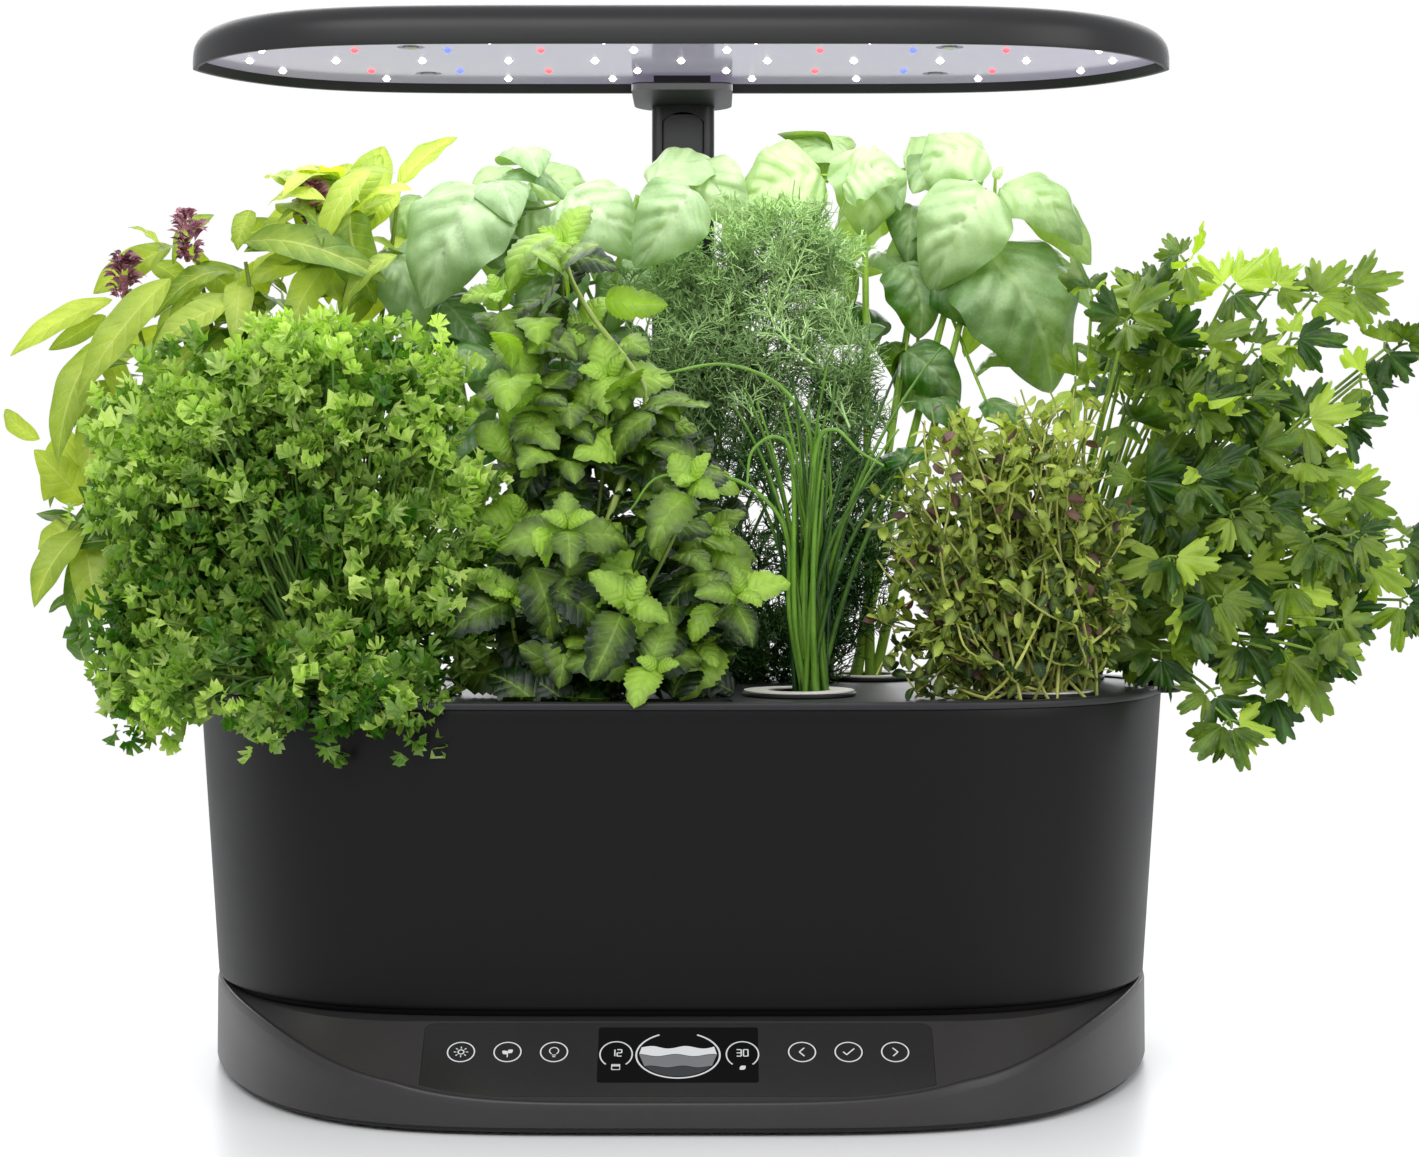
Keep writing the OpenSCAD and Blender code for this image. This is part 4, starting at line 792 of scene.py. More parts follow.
def make_leaf_tone():
    """Leaf colour and relief from the leaf's own UV. A side vein lies where
    count u - slant |v| is whole; the blade rises between veins as 1 - d^2."""
    g, t, i, o = group("LeafTone", [
        ("UV", "Vector", None), ("Coords", "Vector", None), ("Tint", "Float", 0.5),
        ("Dark", "Color", (0.02, 0.06, 0.01, 1)), ("Light", "Color", (0.2, 0.4, 0.05, 1)),
        ("Vein", "Color", (0.4, 0.5, 0.2, 1)), ("Count", "Float", 7.0),
        ("Slant", "Float", 1.2), ("Strength", "Float", 0.5), ("Heart", "Float", 0.3)],
        [("Color", "Color"), ("Height", "Float")])
    sep = t.node("ShaderNodeSeparateXYZ", Vector=i["UV"])
    u = sep.outputs[0]
    v = t.math("ABSOLUTE", t.math("MULTIPLY_ADD", sep.outputs[1], 2.0, -1.0))
    f = t.math("FRACT", t.math("SUBTRACT", t.math("MULTIPLY", u, i["Count"]),
                               t.math("MULTIPLY", v, i["Slant"])))
    d = t.math("ABSOLUTE", t.math("MULTIPLY_ADD", f, 2.0, -1.0))
    side = t.math("MULTIPLY", t.ramp(d, 0.78, 1.0), t.math("MULTIPLY_ADD", v, -0.8, 0.9))
    rib = t.ramp(v, 0.09, 0.02)
    vein = t.math("MULTIPLY", t.math("MAXIMUM", t.math("MULTIPLY", side, 0.6), rib),
                  i["Strength"], clamp=True)
    blot = t.noise(i["Coords"], 70.0, 3.0, 0.6)
    fine = t.noise(i["Coords"], 900.0, 2.0)
    tone = t.math("ADD", i["Tint"], t.math("MULTIPLY", t.math("SUBTRACT", blot, 0.5), 0.9))
    tone = t.math("ADD", tone, t.math("MULTIPLY", t.math("SUBTRACT", fine, 0.5), 0.25))
    tone = t.math("ADD", tone, t.math("MULTIPLY", i["Heart"],
                                      t.math("SUBTRACT", 0.5, t.math("ADD", v, t.math(
                                          "MULTIPLY", u, 0.4)))), clamp=True)
    base = t.mix(tone, i["Dark"], i["Light"])
    t.put(o["Color"], t.mix(vein, base, i["Vein"]))
    puff = t.math("SUBTRACT", 1.0, t.math("MULTIPLY", d, d))
    t.put(o["Height"], t.math("ADD", t.math("MULTIPLY", puff, 0.5), t.math(
        "SUBTRACT", t.math("MULTIPLY", fine, 0.3), t.math("MULTIPLY", vein, 0.7))))
    return g


LEAF_TONE = make_leaf_tone()


def leaf_mat(name, dark, light, vein, through, share, strength=0.5, heart=0.3,
             count=7.0, slant=1.2, rough=0.42, bump=0.5, specular=0.45):
    """A leaf: a glossy blade mixed with light that comes through it in the colour through."""
    m, t, surface = material(name)
    uv = m.node_tree.nodes.new("ShaderNodeUVMap")
    uv.uv_map = "UVMap"
    tint = m.node_tree.nodes.new("ShaderNodeAttribute")
    tint.attribute_name = "tint"
    tint = tint.outputs["Fac"]
    q = use(t, LEAF_TONE, UV=uv.outputs[0], Coords=t.object_coords(), Tint=tint,
            Dark=lin(*dark), Light=lin(*light), Vein=lin(*vein), Count=count, Slant=slant,
            Strength=strength, Heart=heart)
    b = t.node("ShaderNodeBump", Height=q["Height"], Strength=bump, Distance=0.0005)
    s = t.node("ShaderNodeBsdfPrincipled", Base_Color=q["Color"], Roughness=rough,
               Normal=b.outputs[0])
    s.inputs["Specular IOR Level"].default_value = specular
    shine = t.mix(0.75, q["Color"], t.mix(1.0, q["Color"], lin(*through), "MULTIPLY"))
    shine = t.mix(tint, shine, lin(*through))
    tr = t.node("ShaderNodeBsdfTranslucent", Color=shine, Normal=b.outputs[0])
    mx = t.node("ShaderNodeMixShader", i0=share, i1=s.outputs[0], i2=tr.outputs[0])
    t.put(surface, mx.outputs[0])
    return m


def stem_mat(name, dark, light, through, share=0.15, **look):
    """A stem or thread: the leaf's finish without veins."""
    return leaf_mat(name, dark, light, (0, 0, 0), through, share, strength=0.0, **look)


class Plant:
    """Gathers the grids of one plant and writes them as pieces in place of its solid."""

    def __init__(self, node, seed, pod):
        self.node, self.rng, self.parts = node, np.random.default_rng(seed), {}
        self.pod = np.array([*pod, ROOT_Z], float)

    def roots(self, n, spread):
        """n places scattered over the pod."""
        return self.pod + self.rng.normal(0, spread, (n, 3)) * (1, 1, 0)

    def lean(self, ends, kx, ky, lift):
        """The pull on stems to ends: kx and ky times their way across, and lift upwards."""
        pull = (ends - self.pod) * (kx, ky, 0)
        pull[:, 2] = lift
        return pull

    def scatter(self, spread, like):
        """Random offsets for each row of like."""
        return self.rng.normal(0, spread, (len(like), 3))

    def add(self, kind, grid, tint=0.5):
        pts, uv = grid
        tint = per_leaf(np.clip(tint, 0, 1), len(pts))
        tint = np.broadcast_to(tint[:, None, None], pts.shape[:3])
        self.parts.setdefault(kind, []).append((pts, uv, tint))

    def write(self, **mats):
        """One piece for each kind; the first one stands for the plant's solid."""
        solid = [self.node]
        for kind, grids in self.parts.items():
            faces, base = [], 0
            for pts, _, _ in grids:
                n, r, c, _ = pts.shape
                first = (np.arange(n) * r * c)[:, None, None] + base
                faces.append((quads(r, c)[None, :, ::-1] + first).reshape(-1, 4))
                base += n * r * c
            v = np.clip(np.vstack([g[0].reshape(-1, 3) for g in grids]), REACH_LOW, REACH_HIGH)
            # Nothing dips into the deck: over its plan the leaves end on its top
            over = (np.abs((v[:, :2] - DECK_MID) / DECK_HALF) ** DECK_POWER).sum(1) < 1
            v[over & (v[:, 2] < 165), 2] = 168
            ob = mesh_object(f"{self.node}_{kind}", v, np.vstack(faces), mats[kind],
                             np.vstack([g[1].reshape(-1, 2) for g in grids]),
                             np.concatenate([g[2].ravel() for g in grids]))
            wear(ob, "deck", self.node + "_leaf", *solid)
            solid = []


def rows(table):
    """Leaf rows (x, y, z, x, y, z, width) as bases, tips and widths."""
    a = np.array(table, float)
    return a[:, :3], a[:, 3:6], a[:, 6]


def crown(p, n, depth, low):
    """n places up to depth under the skin of a plant's solid, above the height low, and
    the skin's outward directions there."""
    me = NODES[p.node].data
    me.calc_loop_triangles()
    v = np.empty(len(me.vertices) * 3)
    me.vertices.foreach_get("co", v)
    t = np.empty(len(me.loop_triangles) * 3, np.int32)
    me.loop_triangles.foreach_get("vertices", t)
    tri = v.reshape(-1, 3)[t.reshape(-1, 3)] * 1000
    up = np.cross(tri[:, 1] - tri[:, 0], tri[:, 2] - tri[:, 0])
    area = np.linalg.norm(up, axis=1) * (tri[:, :, 2].mean(1) > low)
    pick = p.rng.choice(len(tri), n, p=area / area.sum())
    a, b = np.sqrt(p.rng.uniform(0, 1, (n, 1))), p.rng.uniform(0, 1, (n, 1))
    at = (1 - a) * tri[pick, 0] + a * (1 - b) * tri[pick, 1] + a * b * tri[pick, 2]
    out = unit(up[pick])
    return at - out * p.rng.uniform(0, 1, (n, 1)) ** 1.3 * depth, out


def heap(rng, n, balls, shell, front=0.62):
    """n places in a heap of ellipsoids (x, y, z, rx, ry, rz), under their skins, more of them
    in front, the outward directions there, and how near the skin they are from 0 to 1."""
    b = np.array(balls, float)
    size = b[:, 3] * b[:, 5]
    k = rng.choice(len(b), n, p=size / size.sum())
    d = unit(rng.normal(0, 1, (n, 3)))
    d[:, 1] = np.where(rng.uniform(0, 1, n) < front, -1, 1) * np.abs(d[:, 1])
    near = rng.uniform(0, 1, n)
    r = shell + (1 - shell) * near[:, None]
    return b[k, :3] + d * r * b[k, 3:], unit(d / b[k, 3:]), near


def shades(rng, n, mean, spread, young):
    """Tints about a mean, and a share of young leaves near 1."""
    t = rng.normal(mean, spread, n)
    return np.clip(np.where(rng.uniform(0, 1, n) < young, rng.uniform(0.85, 1, n), t), 0, 1)


# Thai basil: long pointed leaves, purple flower spikes
THAI = [
    (-197, 40, 364, -131, 20, 346, 18), (-229, 30, 347, -268, 12, 294, 17),
    (-257, 40, 338, -302, 30, 313, 12), (-261, 45, 331, -286, 40, 315, 9),
    (-232, 50, 363, -271, 60, 342, 14), (-204, 30, 335, -234, 14, 316, 14),
    (-166, 50, 359, -197, 40, 345, 12), (-155, 60, 382, -138, 70, 407, 12),
    (-131, 70, 392, -105, 80, 417, 13), (-155, 60, 372, -131, 55, 387, 9),
    (-262, 40, 320, -280, 25, 265, 16), (-267, 50, 290, -268, 35, 255, 14),
    (-292, 50, 275, -311, 60, 289, 9), (-272, 50, 246, -291, 35, 270, 17),
    (-273, 50, 237, -296, 60, 225, 11), (-271, 45, 234, -291, 30, 200, 16),
    (-272, 50, 231, -262, 30, 189, 17), (-265, 60, 220, -254, 50, 191, 12),
    (-244, 40, 182, -248, 30, 165, 9), (-242, 40, 165, -235, 20, 145, 10),
    (-150, 45, 378, -138, 30, 336, 22), (-173, 60, 368, -155, 45, 338, 21),
    (-192, 60, 356, -203, 40, 330, 15), (-221, 60, 356, -191, 50, 330, 15),
    (-246, 70, 357, -221, 60, 339, 12), (-216, 70, 379, -234, 60, 356, 11),
    (-160, 50, 356, -177, 30, 324, 16), (-134, 70, 354, -151, 60, 325, 18),
    (-178, 50, 338, -152, 35, 314, 15), (-204, 60, 324, -228, 50, 306, 14),
    (-234, 60, 325, -259, 70, 311, 12), (-255, 70, 306, -269, 60, 279, 13),
    (-178, 80, 384, -194, 70, 367, 10), (-145, 85, 391, -165, 90, 403, 10),
    (-127, 80, 370, -138, 70, 340, 16), (-259, 70, 284, -244, 60, 261, 12),
    (-239, 60, 362, -254, 60, 373, 9), (-152, 70, 379, -138, 80, 412, 19),
    (-142, 60, 356, -153, 50, 325, 18), (-175, 60, 366, -160, 50, 337, 16),
    (-131, 66, 390, -145, 60, 370, 14), (-192, 60, 325, -201, 50, 299, 16),
    (-215, 50, 316, -201, 40, 292, 15), (-280, 60, 279, -290, 50, 247, 16),
    (-199, 70, 381, -204, 60, 362, 10), (-210, 80, 368, -177, 75, 373, 12),
    (-166, 70, 380, -153, 74, 394, 8)]
p = Plant("thai_basil", 3, (-168, 50))
b, t_, w = rows(THAI)
face = np.array([0.1, -1.0, 0.55]) + p.scatter(0.3, b)
p.add("leaves", blades(p.rng, b, t_, face, w * 1.12, "lance", 22, 8,
                       arch=p.rng.uniform(0.06, 0.16, len(b)), fold=0.35, curl=0.05, wave=0.10,
                       pucker=0.04, veins=7),
      p.rng.uniform(0.25, 0.9, len(b)))
tops = np.array([(-223, 60, 362), (-169, 70, 374), (-253, 60, 344), (-272, 50, 247),
                 (-242, 40, 184), (-131, 72, 390), (-197, 40, 355), (-151, 50, 377),
                 (-285, 52, 240), (-230, 60, 330)], float)
stems = bends(p.roots(len(tops), 6), tops, p.lean(tops, 0.25, 0, 12), 16)
p.add("stems", tubes(stems, 1.9, 0.9, 7), 0.4)
tip, out, near = heap(p.rng, 165, [
    (-166, 45, 372, 26, 30, 34), (-146, 45, 332, 18, 26, 56), (-160, 50, 396, 16, 20, 18),
    (-215, 50, 328, 42, 36, 38), (-258, 55, 285, 38, 34, 44), (-272, 55, 222, 26, 26, 40),
    (-185, 45, 262, 42, 34, 70), (-232, 45, 232, 34, 30, 48)], 0.6)
d = unit(out * (1, 0.6, 0.2) + [-0.25, -0.15, -0.25] + p.scatter(0.4, tip))
ln = p.rng.uniform(28, 50, len(tip))
# Neither end of a leaf reaches the lamp
tip[:, 2] -= np.maximum(0, np.maximum(tip[:, 2], tip[:, 2] - d[:, 2] * ln) - 396)
# These leaves are tinted lighter with height and near the heap's skin, darker low down and inside:
# painted light and shade.
p.add("leaves", blades(p.rng, tip - d * ln[:, None], tip, out * 0.5 + [0.0, -0.6, 0.8],
                       ln * 0.34, "lance", 16, 8, arch=0.14, fold=0.35, curl=0.1, wave=0.12,
                       pucker=0.08),
      0.1 + (tip[:, 2] - 290) / 260 + 0.35 * near + p.rng.normal(0, 0.2, len(tip)))
for fx, fy, fz, high in ((-222, 34, 366, 12), (-167, 40, 381, 10), (-252, 40, 348, 11)):
    n = 84
    h = p.rng.uniform(-high, high, n)
    az = p.rng.uniform(0, 2 * PI, n)
    o = np.stack([fx + 3 * np.cos(az), fy + 3 * np.sin(az), fz + h], -1)
    e = o + (unit(np.stack([np.cos(az), np.sin(az), p.rng.uniform(0, 1.1, n)], -1))
             * p.rng.uniform(4.5, 9, n)[:, None] * (1.15 - np.abs(h)[:, None] / (1.5 * high)))
    p.add("flowers", blades(p.rng, o, e, [0.2, -0.5, 1], 3.8, "oval", 4, 4, arch=0.2, fold=0.5),
          p.rng.uniform(0, 1, n))
p.write(
    leaves=leaf_mat("thai_leaf", (74, 114, 30), (198, 216, 92), (214, 222, 140), (214, 236, 60),
                    share=0.42, bump=0.8),
    stems=stem_mat("thai_stem", (96, 120, 40), (160, 170, 80), (170, 190, 70), 0.2),
    flowers=leaf_mat("thai_flower", (92, 50, 68), (196, 146, 156), (150, 120, 90),
                     (190, 90, 120), share=0.3, strength=0.2))


def basil(p, table, tops, more, leaf, stem, share, rough):
    """A basil: large puffed leaves from a table on stems up from the pod, more leaves all
    over the crown, and the colours of both."""
    shape = dict(fold=0.34, pucker=0.13, veins=5, slant=1.7, roll=0.34)
    b, t_, w = rows(table)
    f = np.array((0.05, -1.0, 0.6)) + p.scatter(0.22, b)
    # The table's leaves are tinted lighter with height: pale on top as painted light, darker low
    # down as painted shade.
    p.add("leaves", blades(p.rng, b, t_, f, w, "heart", 40, 22,
                           arch=p.rng.uniform(0.12, 0.26, len(b)), curl=0.16, wave=0.10, **shape),
          np.clip((b[:, 2] + t_[:, 2] - 620) / 150 + p.rng.normal(0, 0.13, len(b)), 0.2, 1.0))
    s = np.array(tops, float)
    p.add("stems", tubes(bends(p.roots(len(s), 5), s, [0, 6, 10], 14), 2.4, 1.2, 8), 0.5)
    hub = s[np.argmin(np.linalg.norm(b[:, None] - s[None], axis=2), axis=1)] + [0, 2, -3]
    p.add("stems", tubes(bends(hub, b, [0, 0, -3], 7), 1.0, 0.7, 6), 0.6)
    tip, out = crown(p, more, 10, 225)
    d = unit(out * (1, 0.7, 0.4) + [0, -0.2, -0.35] + p.scatter(0.3, tip))
    ln = p.rng.uniform(28, 44, more)
    # The crown's leaves are also tinted lighter with height, as painted light and shade.
    p.add("leaves", blades(p.rng, tip - d * ln[:, None], tip, out * 0.6 + [0, -0.5, 0.7],
                           ln * 0.76, "heart", 24, 16, arch=0.2, curl=0.15, **shape),
          (tip[:, 2] - 250) / 220 + p.rng.normal(0, 0.2, more))
    p.write(leaves=leaf_mat(p.node + "_leaf", *leaf, share, strength=0.22, count=5.0, slant=1.7,
                            rough=rough, bump=0.7),
            stems=stem_mat(p.node + "_stem", *stem, 0.2))


# Left and right basil: broad puffed leaves
LEFT = [
    (-88, 40, 387, -116, 20, 337, 52), (-136, 60, 362, -119, 45, 318, 32),
    (-53, 30, 382, -18, 10, 358, 40), (4, 20, 386, -18, 0, 352, 37),
    (-15, 60, 391, 24, 80, 401, 32), (8, 70, 402, 29, 60, 372, 30),
    (-99, 80, 391, -67, 90, 381, 33), (-63, 70, 383, -83, 60, 366, 28),
    (-111, 60, 339, -87, 40, 310, 28), (-49, 50, 356, -73, 35, 324, 32),
    (-19, 60, 356, -37, 50, 325, 30), (-71, 90, 397, -39, 95, 388, 22),
    (-33, 60, 325, -15, 50, 297, 27), (-93, 70, 316, -74, 60, 284, 29),
    (-122, 80, 322, -134, 75, 294, 23), (-115, 66, 368, -130, 56, 336, 24),
    (-105, 72, 347, -117, 62, 316, 25), (-123, 84, 389, -132, 80, 363, 19)]
basil(Plant("basil_left", 5, (-84, 50)), LEFT,
      [(-75, 60, 384), (-20, 50, 386), (5, 66, 398), (-110, 66, 345), (-45, 70, 350)], 34,
      ((56, 106, 24), (180, 204, 156), (206, 218, 190), (160, 206, 70)),
      ((90, 130, 60), (170, 200, 90), (170, 210, 80)), share=0.28, rough=0.34)
RIGHT = [
    (64, 70, 397, 26, 60, 385, 44), (55, 90, 411, 82, 95, 416, 21),
    (78, 85, 406, 43, 80, 412, 21), (75, 60, 393, 97, 50, 397, 38),
    (83, 70, 409, 86, 66, 369, 41), (104, 90, 402, 142, 92, 411, 42),
    (140, 80, 410, 108, 76, 396, 39), (139, 62, 390, 113, 55, 345, 47),
    (147, 70, 391, 185, 62, 368, 30), (137, 72, 363, 173, 60, 300, 65),
    (161, 80, 387, 191, 78, 358, 24), (103, 70, 357, 111, 62, 323, 35),
    (113, 85, 373, 96, 80, 344, 27), (92, 88, 387, 74, 86, 358, 29),
    (36, 90, 388, 22, 90, 359, 27), (153, 85, 358, 193, 80, 340, 28),
    (103, 70, 316, 128, 65, 293, 27), (112, 76, 354, 142, 66, 326, 30),
    (107, 66, 296, 134, 60, 275, 23), (139, 60, 293, 158, 50, 269, 24),
    (144, 66, 395, 147, 66, 401, 5)]
basil(Plant("basil_right", 8, (84, 50)), RIGHT,
      [(84, 72, 405), (140, 74, 402), (112, 84, 372), (144, 70, 388)], 24,
      ((38, 94, 6), (182, 208, 156), (200, 216, 170), (176, 216, 40)),
      ((110, 160, 40), (180, 210, 80), (190, 220, 60)), share=0.34, rough=0.32)

# Mint: toothed leaves in crossed pairs up each shoot, small and pale at the top
MINT = [
    (-32, -40, 333, -6, -50, 330, 14), (-26, -40, 314, -13, -46, 311, 14),
    (-77, -50, 286, -35, -60, 279, 19), (5, -50, 290, -17, -60, 286, 9),
    (-75, -60, 268, -84, -50, 282, 14), (-68, -90, 209, -73, -96, 217, 11),
    (-16, -100, 173, -18, -104, 162, 9), (15, -90, 205, 5, -96, 191, 12),
    (-51, -50, 273, -34, -40, 261, 16), (-67, -60, 248, -82, -50, 231, 15),
    (-38, -40, 261, -52, -30, 278, 13), (9, -60, 231, 34, -50, 223, 14),
    (-17, -50, 223, -33, -60, 198, 16), (-66, -70, 190, -49, -80, 170, 14),
    (-33, -60, 189, -16, -70, 169, 14), (-84, -50, 206, -67, -60, 189, 13)]
p = Plant("mint", 11, (-50, -60))
SOFT = dict(form="ovate", fold=0.26, pucker=0.16)
TOOTHED = dict(SOFT, nu=18, nv=8, veins=6, teeth=9, bite=0.16, roll=0.12)
tops = np.array([(-45, -100, 238), (-20, -105, 207), (25, -100, 210), (-7, -108, 180),
                 (6, -85, 257), (-77, -40, 335), (-50, -30, 358), (-68, -90, 210),
                 (-66, -60, 240), (-33, -60, 223), (-57, -50, 261), (-9, -40, 282),
                 (-41, -30, 321), (9, -80, 190), (-49, -85, 199), (-84, -60, 223),
                 (-30, -50, 300), (-60, -60, 290), (14, -50, 236), (-12, -60, 240)], float)
stems = bends(p.roots(len(tops), 8), tops, p.lean(tops, 0.3, 0.4, 8), 24)
p.add("stems", tubes(stems, 1.2, 0.7, 6), 0.5)
# Length and tint of the three youngest pairs on a shoot
YOUNG = ((11, 0.95), (19, 0.74), (25, 0.42))
for i, line in enumerate(stems):
    tall = tops[i, 2] - ROOT_Z
    for j, down in enumerate(np.concatenate([[0.6, 2.6, 6.5], np.arange(6, tall, 19.0)[::-1]])):
        if j > 2 and down < 10 or j > 3 and p.rng.uniform() < 0.28:
            continue
        o = line[int(round(max(0.12, 1 - down / max(tall, 20)) * 23))]
        # Below the three youngest pairs the tint falls towards the bottom, as painted shade.
        size, tone = YOUNG[j] if j < 3 else (25, 0.08 + (o[2] - 190) / 400)
        # The upper pairs face the light and the front, the lower ones lie flatter
        axis = unit(np.array([0.25 * math.sin(i), -0.85 if j < 4 else -0.4, 0.6])
                    + p.rng.normal(0, 0.07 if j < 3 else 0.3, 3))
        across = unit(np.cross(axis, [0.1 * math.cos(2.3 * i), 0.2, 1.0]))
        for turn in (0, PI):
            az = j * PI / 2 + turn + p.rng.normal(0, 0.2) + i
            ln = size * p.rng.uniform(0.8, 1.25)
            lift = (0.7, 0.3)[j] if j < 2 else p.rng.uniform(-0.35, 0.2)
            d = unit(math.cos(az) * across + math.sin(az) * np.cross(axis, across) + lift * axis)
            p.add("leaves", blades(p.rng, o, o + d * ln, axis - 0.3 * d, ln * 0.62, arch=0.12,
                                   curl=0.12, **TOOTHED), tone + p.rng.normal(0, 0.18))
# Leaves over the crown, tinted lighter near the heap's skin and higher up and darker inside and low
# down, as painted light and shade.
tip, out, near = heap(p.rng, 150, [
    (-46, -68, 208, 42, 40, 42), (6, -72, 196, 30, 34, 34), (-56, -58, 272, 34, 34, 42),
    (-60, -48, 322, 20, 22, 26), (-14, -58, 262, 26, 28, 36), (-30, -88, 178, 52, 22, 16)], 0.55)
d = unit(out * (1, 0.8, 0.3) + [0, -0.3, -0.2] + p.scatter(0.5, tip))
ln = p.rng.uniform(20, 32, len(tip))
p.add("leaves", blades(p.rng, tip - d * ln[:, None], tip, out * 0.5 + [0, -0.6, 0.8], ln * 0.64,
                       arch=0.14, curl=0.14, **TOOTHED),
      shades(p.rng, len(tip), 0.25 * near + (tip[:, 2] - 190) / 400, 0.16, 0.12))
b, t_, w = rows(MINT)
p.add("leaves", blades(p.rng, b, t_, np.array([0, -1, 0.7]) + p.scatter(0.3, b), w, nu=24, nv=12,
                       arch=0.14, curl=0.1, veins=7, teeth=12, bite=0.14, roll=0.15, **SOFT),
      p.rng.uniform(0.3, 1.0, len(b)))
sprig = spline([(-62, -56, 176), (-36, -66, 225), (-22, -62, 262), (-14, -56, 290), (-22, -50, 306),
                (-36, -44, 324), (-46, -40, 341), (-50, -38, 356)], 6)
p.add("stems", tubes(sprig[None], 1.7, 1.0, 8), 0.95)
# Leaves deep inside, tinted dark as painted shade
tip, out, near = heap(p.rng, 76, [(-40, -20, 262, 44, 16, 64), (2, -20, 244, 28, 14, 56),
                                  (-30, -26, 205, 52, 18, 34)], 0.3, 0.6)
ln = p.rng.uniform(24, 34, len(tip))
p.add("leaves", blades(p.rng, tip - out * ln[:, None] * 0.6, tip, out * 0.3 + [0, -0.8, 0.5],
                       ln * 0.64, nu=12, nv=6, arch=0.14, curl=0.14, roll=0.12,
                       **dict(SOFT, fold=0.2)),
      shades(p.rng, len(tip), 0.03, 0.06, 0.04))
p.write(leaves=leaf_mat("mint_leaf", (11, 38, 5), (164, 204, 70), (158, 194, 110),
                        (176, 226, 40), share=0.3, strength=0.35, heart=0.5, count=6.0, bump=0.9),
        stems=stem_mat("mint_stem", (70, 100, 40), (150, 170, 80), (150, 180, 70)))

# Curly parsley: ruffled leaflets in clusters at the ends of many stalks
p = Plant("curly_parsley", 17, (-150, -60))
n = 640
end, d, near = heap(p.rng, n, [
    (-162, -62, 236, 70, 40, 72), (-208, -60, 226, 36, 38, 62), (-196, -66, 280, 40, 36, 32),
    (-140, -60, 286, 48, 40, 32), (-100, -62, 226, 24, 38, 58), (-160, -100, 174, 64, 28, 22),
    (-214, -70, 186, 26, 34, 30), (-225, -60, 258, 18, 24, 22), (-168, -60, 306, 26, 26, 14),
    (-112, -70, 300, 16, 22, 16), (-222, -80, 165, 18, 22, 14), (-124, -112, 164, 30, 14, 13)],
    0.66, 0.66)
lines = bends(p.roots(n, 8), end, p.lean(end, 0.2, 0, 14), 10)
p.add("stems", tubes(lines, 0.9, 0.5, 4), p.rng.uniform(0.2, 0.8, n))
x, z = end[:, 0], end[:, 2]
# Painted light and shade: leaflets near the heap's skin and higher up are tinted lighter, those
# inside and low down darker, and wavy patches over x and z lighten or darken them.
painted_clump_light = np.sin(x / 11 + 2) * np.sin(z / 13) + np.sin(x / 23 - z / 19)
tone = shades(p.rng, n, 0.16 + 0.42 * near + (z - 240) / 500 + 0.13 * painted_clump_light, 0.15, 0.08)
for kind, half in (("leaves", range(n // 2)), ("more_leaves", range(n // 2, n))):
    k = np.repeat(half, 6)
    o = end[k] + p.scatter(5.6, k)
    t_ = unit(d[k] + p.scatter(0.75, k) + [0, -0.3, 0.15])
    s = p.rng.uniform(6, 10.5, len(k))
    p.add(kind, fans(p.rng, o, o + t_ * s[:, None], unit(p.scatter(0.7, k) + [0, -0.6, 0.8]),
                     spread=100, lobes=5, depth=0.52, teeth=10, bite=0.22, ruffle=0.3, waves=5,
                     droop=-0.25, nr=2, nt=20, wide=0.9),
          tone[k] + p.rng.normal(0, 0.13, len(k)))
CURLY = leaf_mat("curly_leaf", (66, 120, 22), (228, 248, 140), (120, 170, 90), (186, 240, 50),
                 share=0.40, strength=0.15, heart=0.0, count=0.0, rough=0.36, specular=0.6)
p.write(leaves=CURLY, more_leaves=CURLY,
        stems=stem_mat("curly_stem", (80, 124, 50), (150, 184, 90), (140, 180, 70)))

# Dill: threads on side branches of fine stems
p = Plant("dill", 23, (0, 50))
tops = np.array([(-15, 50, 361), (4, 50, 379), (24, 40, 387), (51, 40, 392), (74, 50, 384),
                 (84, 50, 362), (8, 30, 337), (35, 22, 337), (64, 22, 337), (-7, 30, 301),
                 (80, 40, 302), (17, 22, 283), (45, 50, 370), (60, 45, 350), (20, 45, 350)], float)
p.add("threads", tubes(bends(p.roots(len(tops), 5), tops, p.lean(tops, 0.2, 0, 14), 24),
                       1.1, 0.35, 5), 0.4)
tip, out, near = heap(p.rng, 300, [
    (30, 34, 350, 46, 20, 40), (56, 36, 366, 32, 18, 28), (0, 34, 330, 26, 18, 44),
    (66, 30, 306, 28, 20, 40), (24, 26, 290, 42, 20, 46), (66, 34, 226, 36, 20, 50),
    (10, 34, 216, 36, 20, 44), (82, 34, 262, 16, 20, 46), (56, 26, 192, 46, 20, 28),
    (14, 24, 190, 40, 18, 28)], 0.35, 0.7)
ln = p.rng.uniform(26, 46, len(tip))
d = unit(out * (0.8, 0.5, 0.2) + [0, -0.1, 0.65] + p.scatter(0.3, tip))
spray = bends(tip - d * ln[:, None], tip, p.scatter(3, tip) + [0, 0, 3], 13)
# The tint rises with height: the tops painted light, the lower threads painted shade.
tone = np.clip(0.12 + 0.8 * (tip[:, 2] - 270) / 120 + p.rng.normal(0, 0.12, len(tip)), 0, 1)
p.add("threads", tubes(spray, 0.6, 0.3, 4), tone)
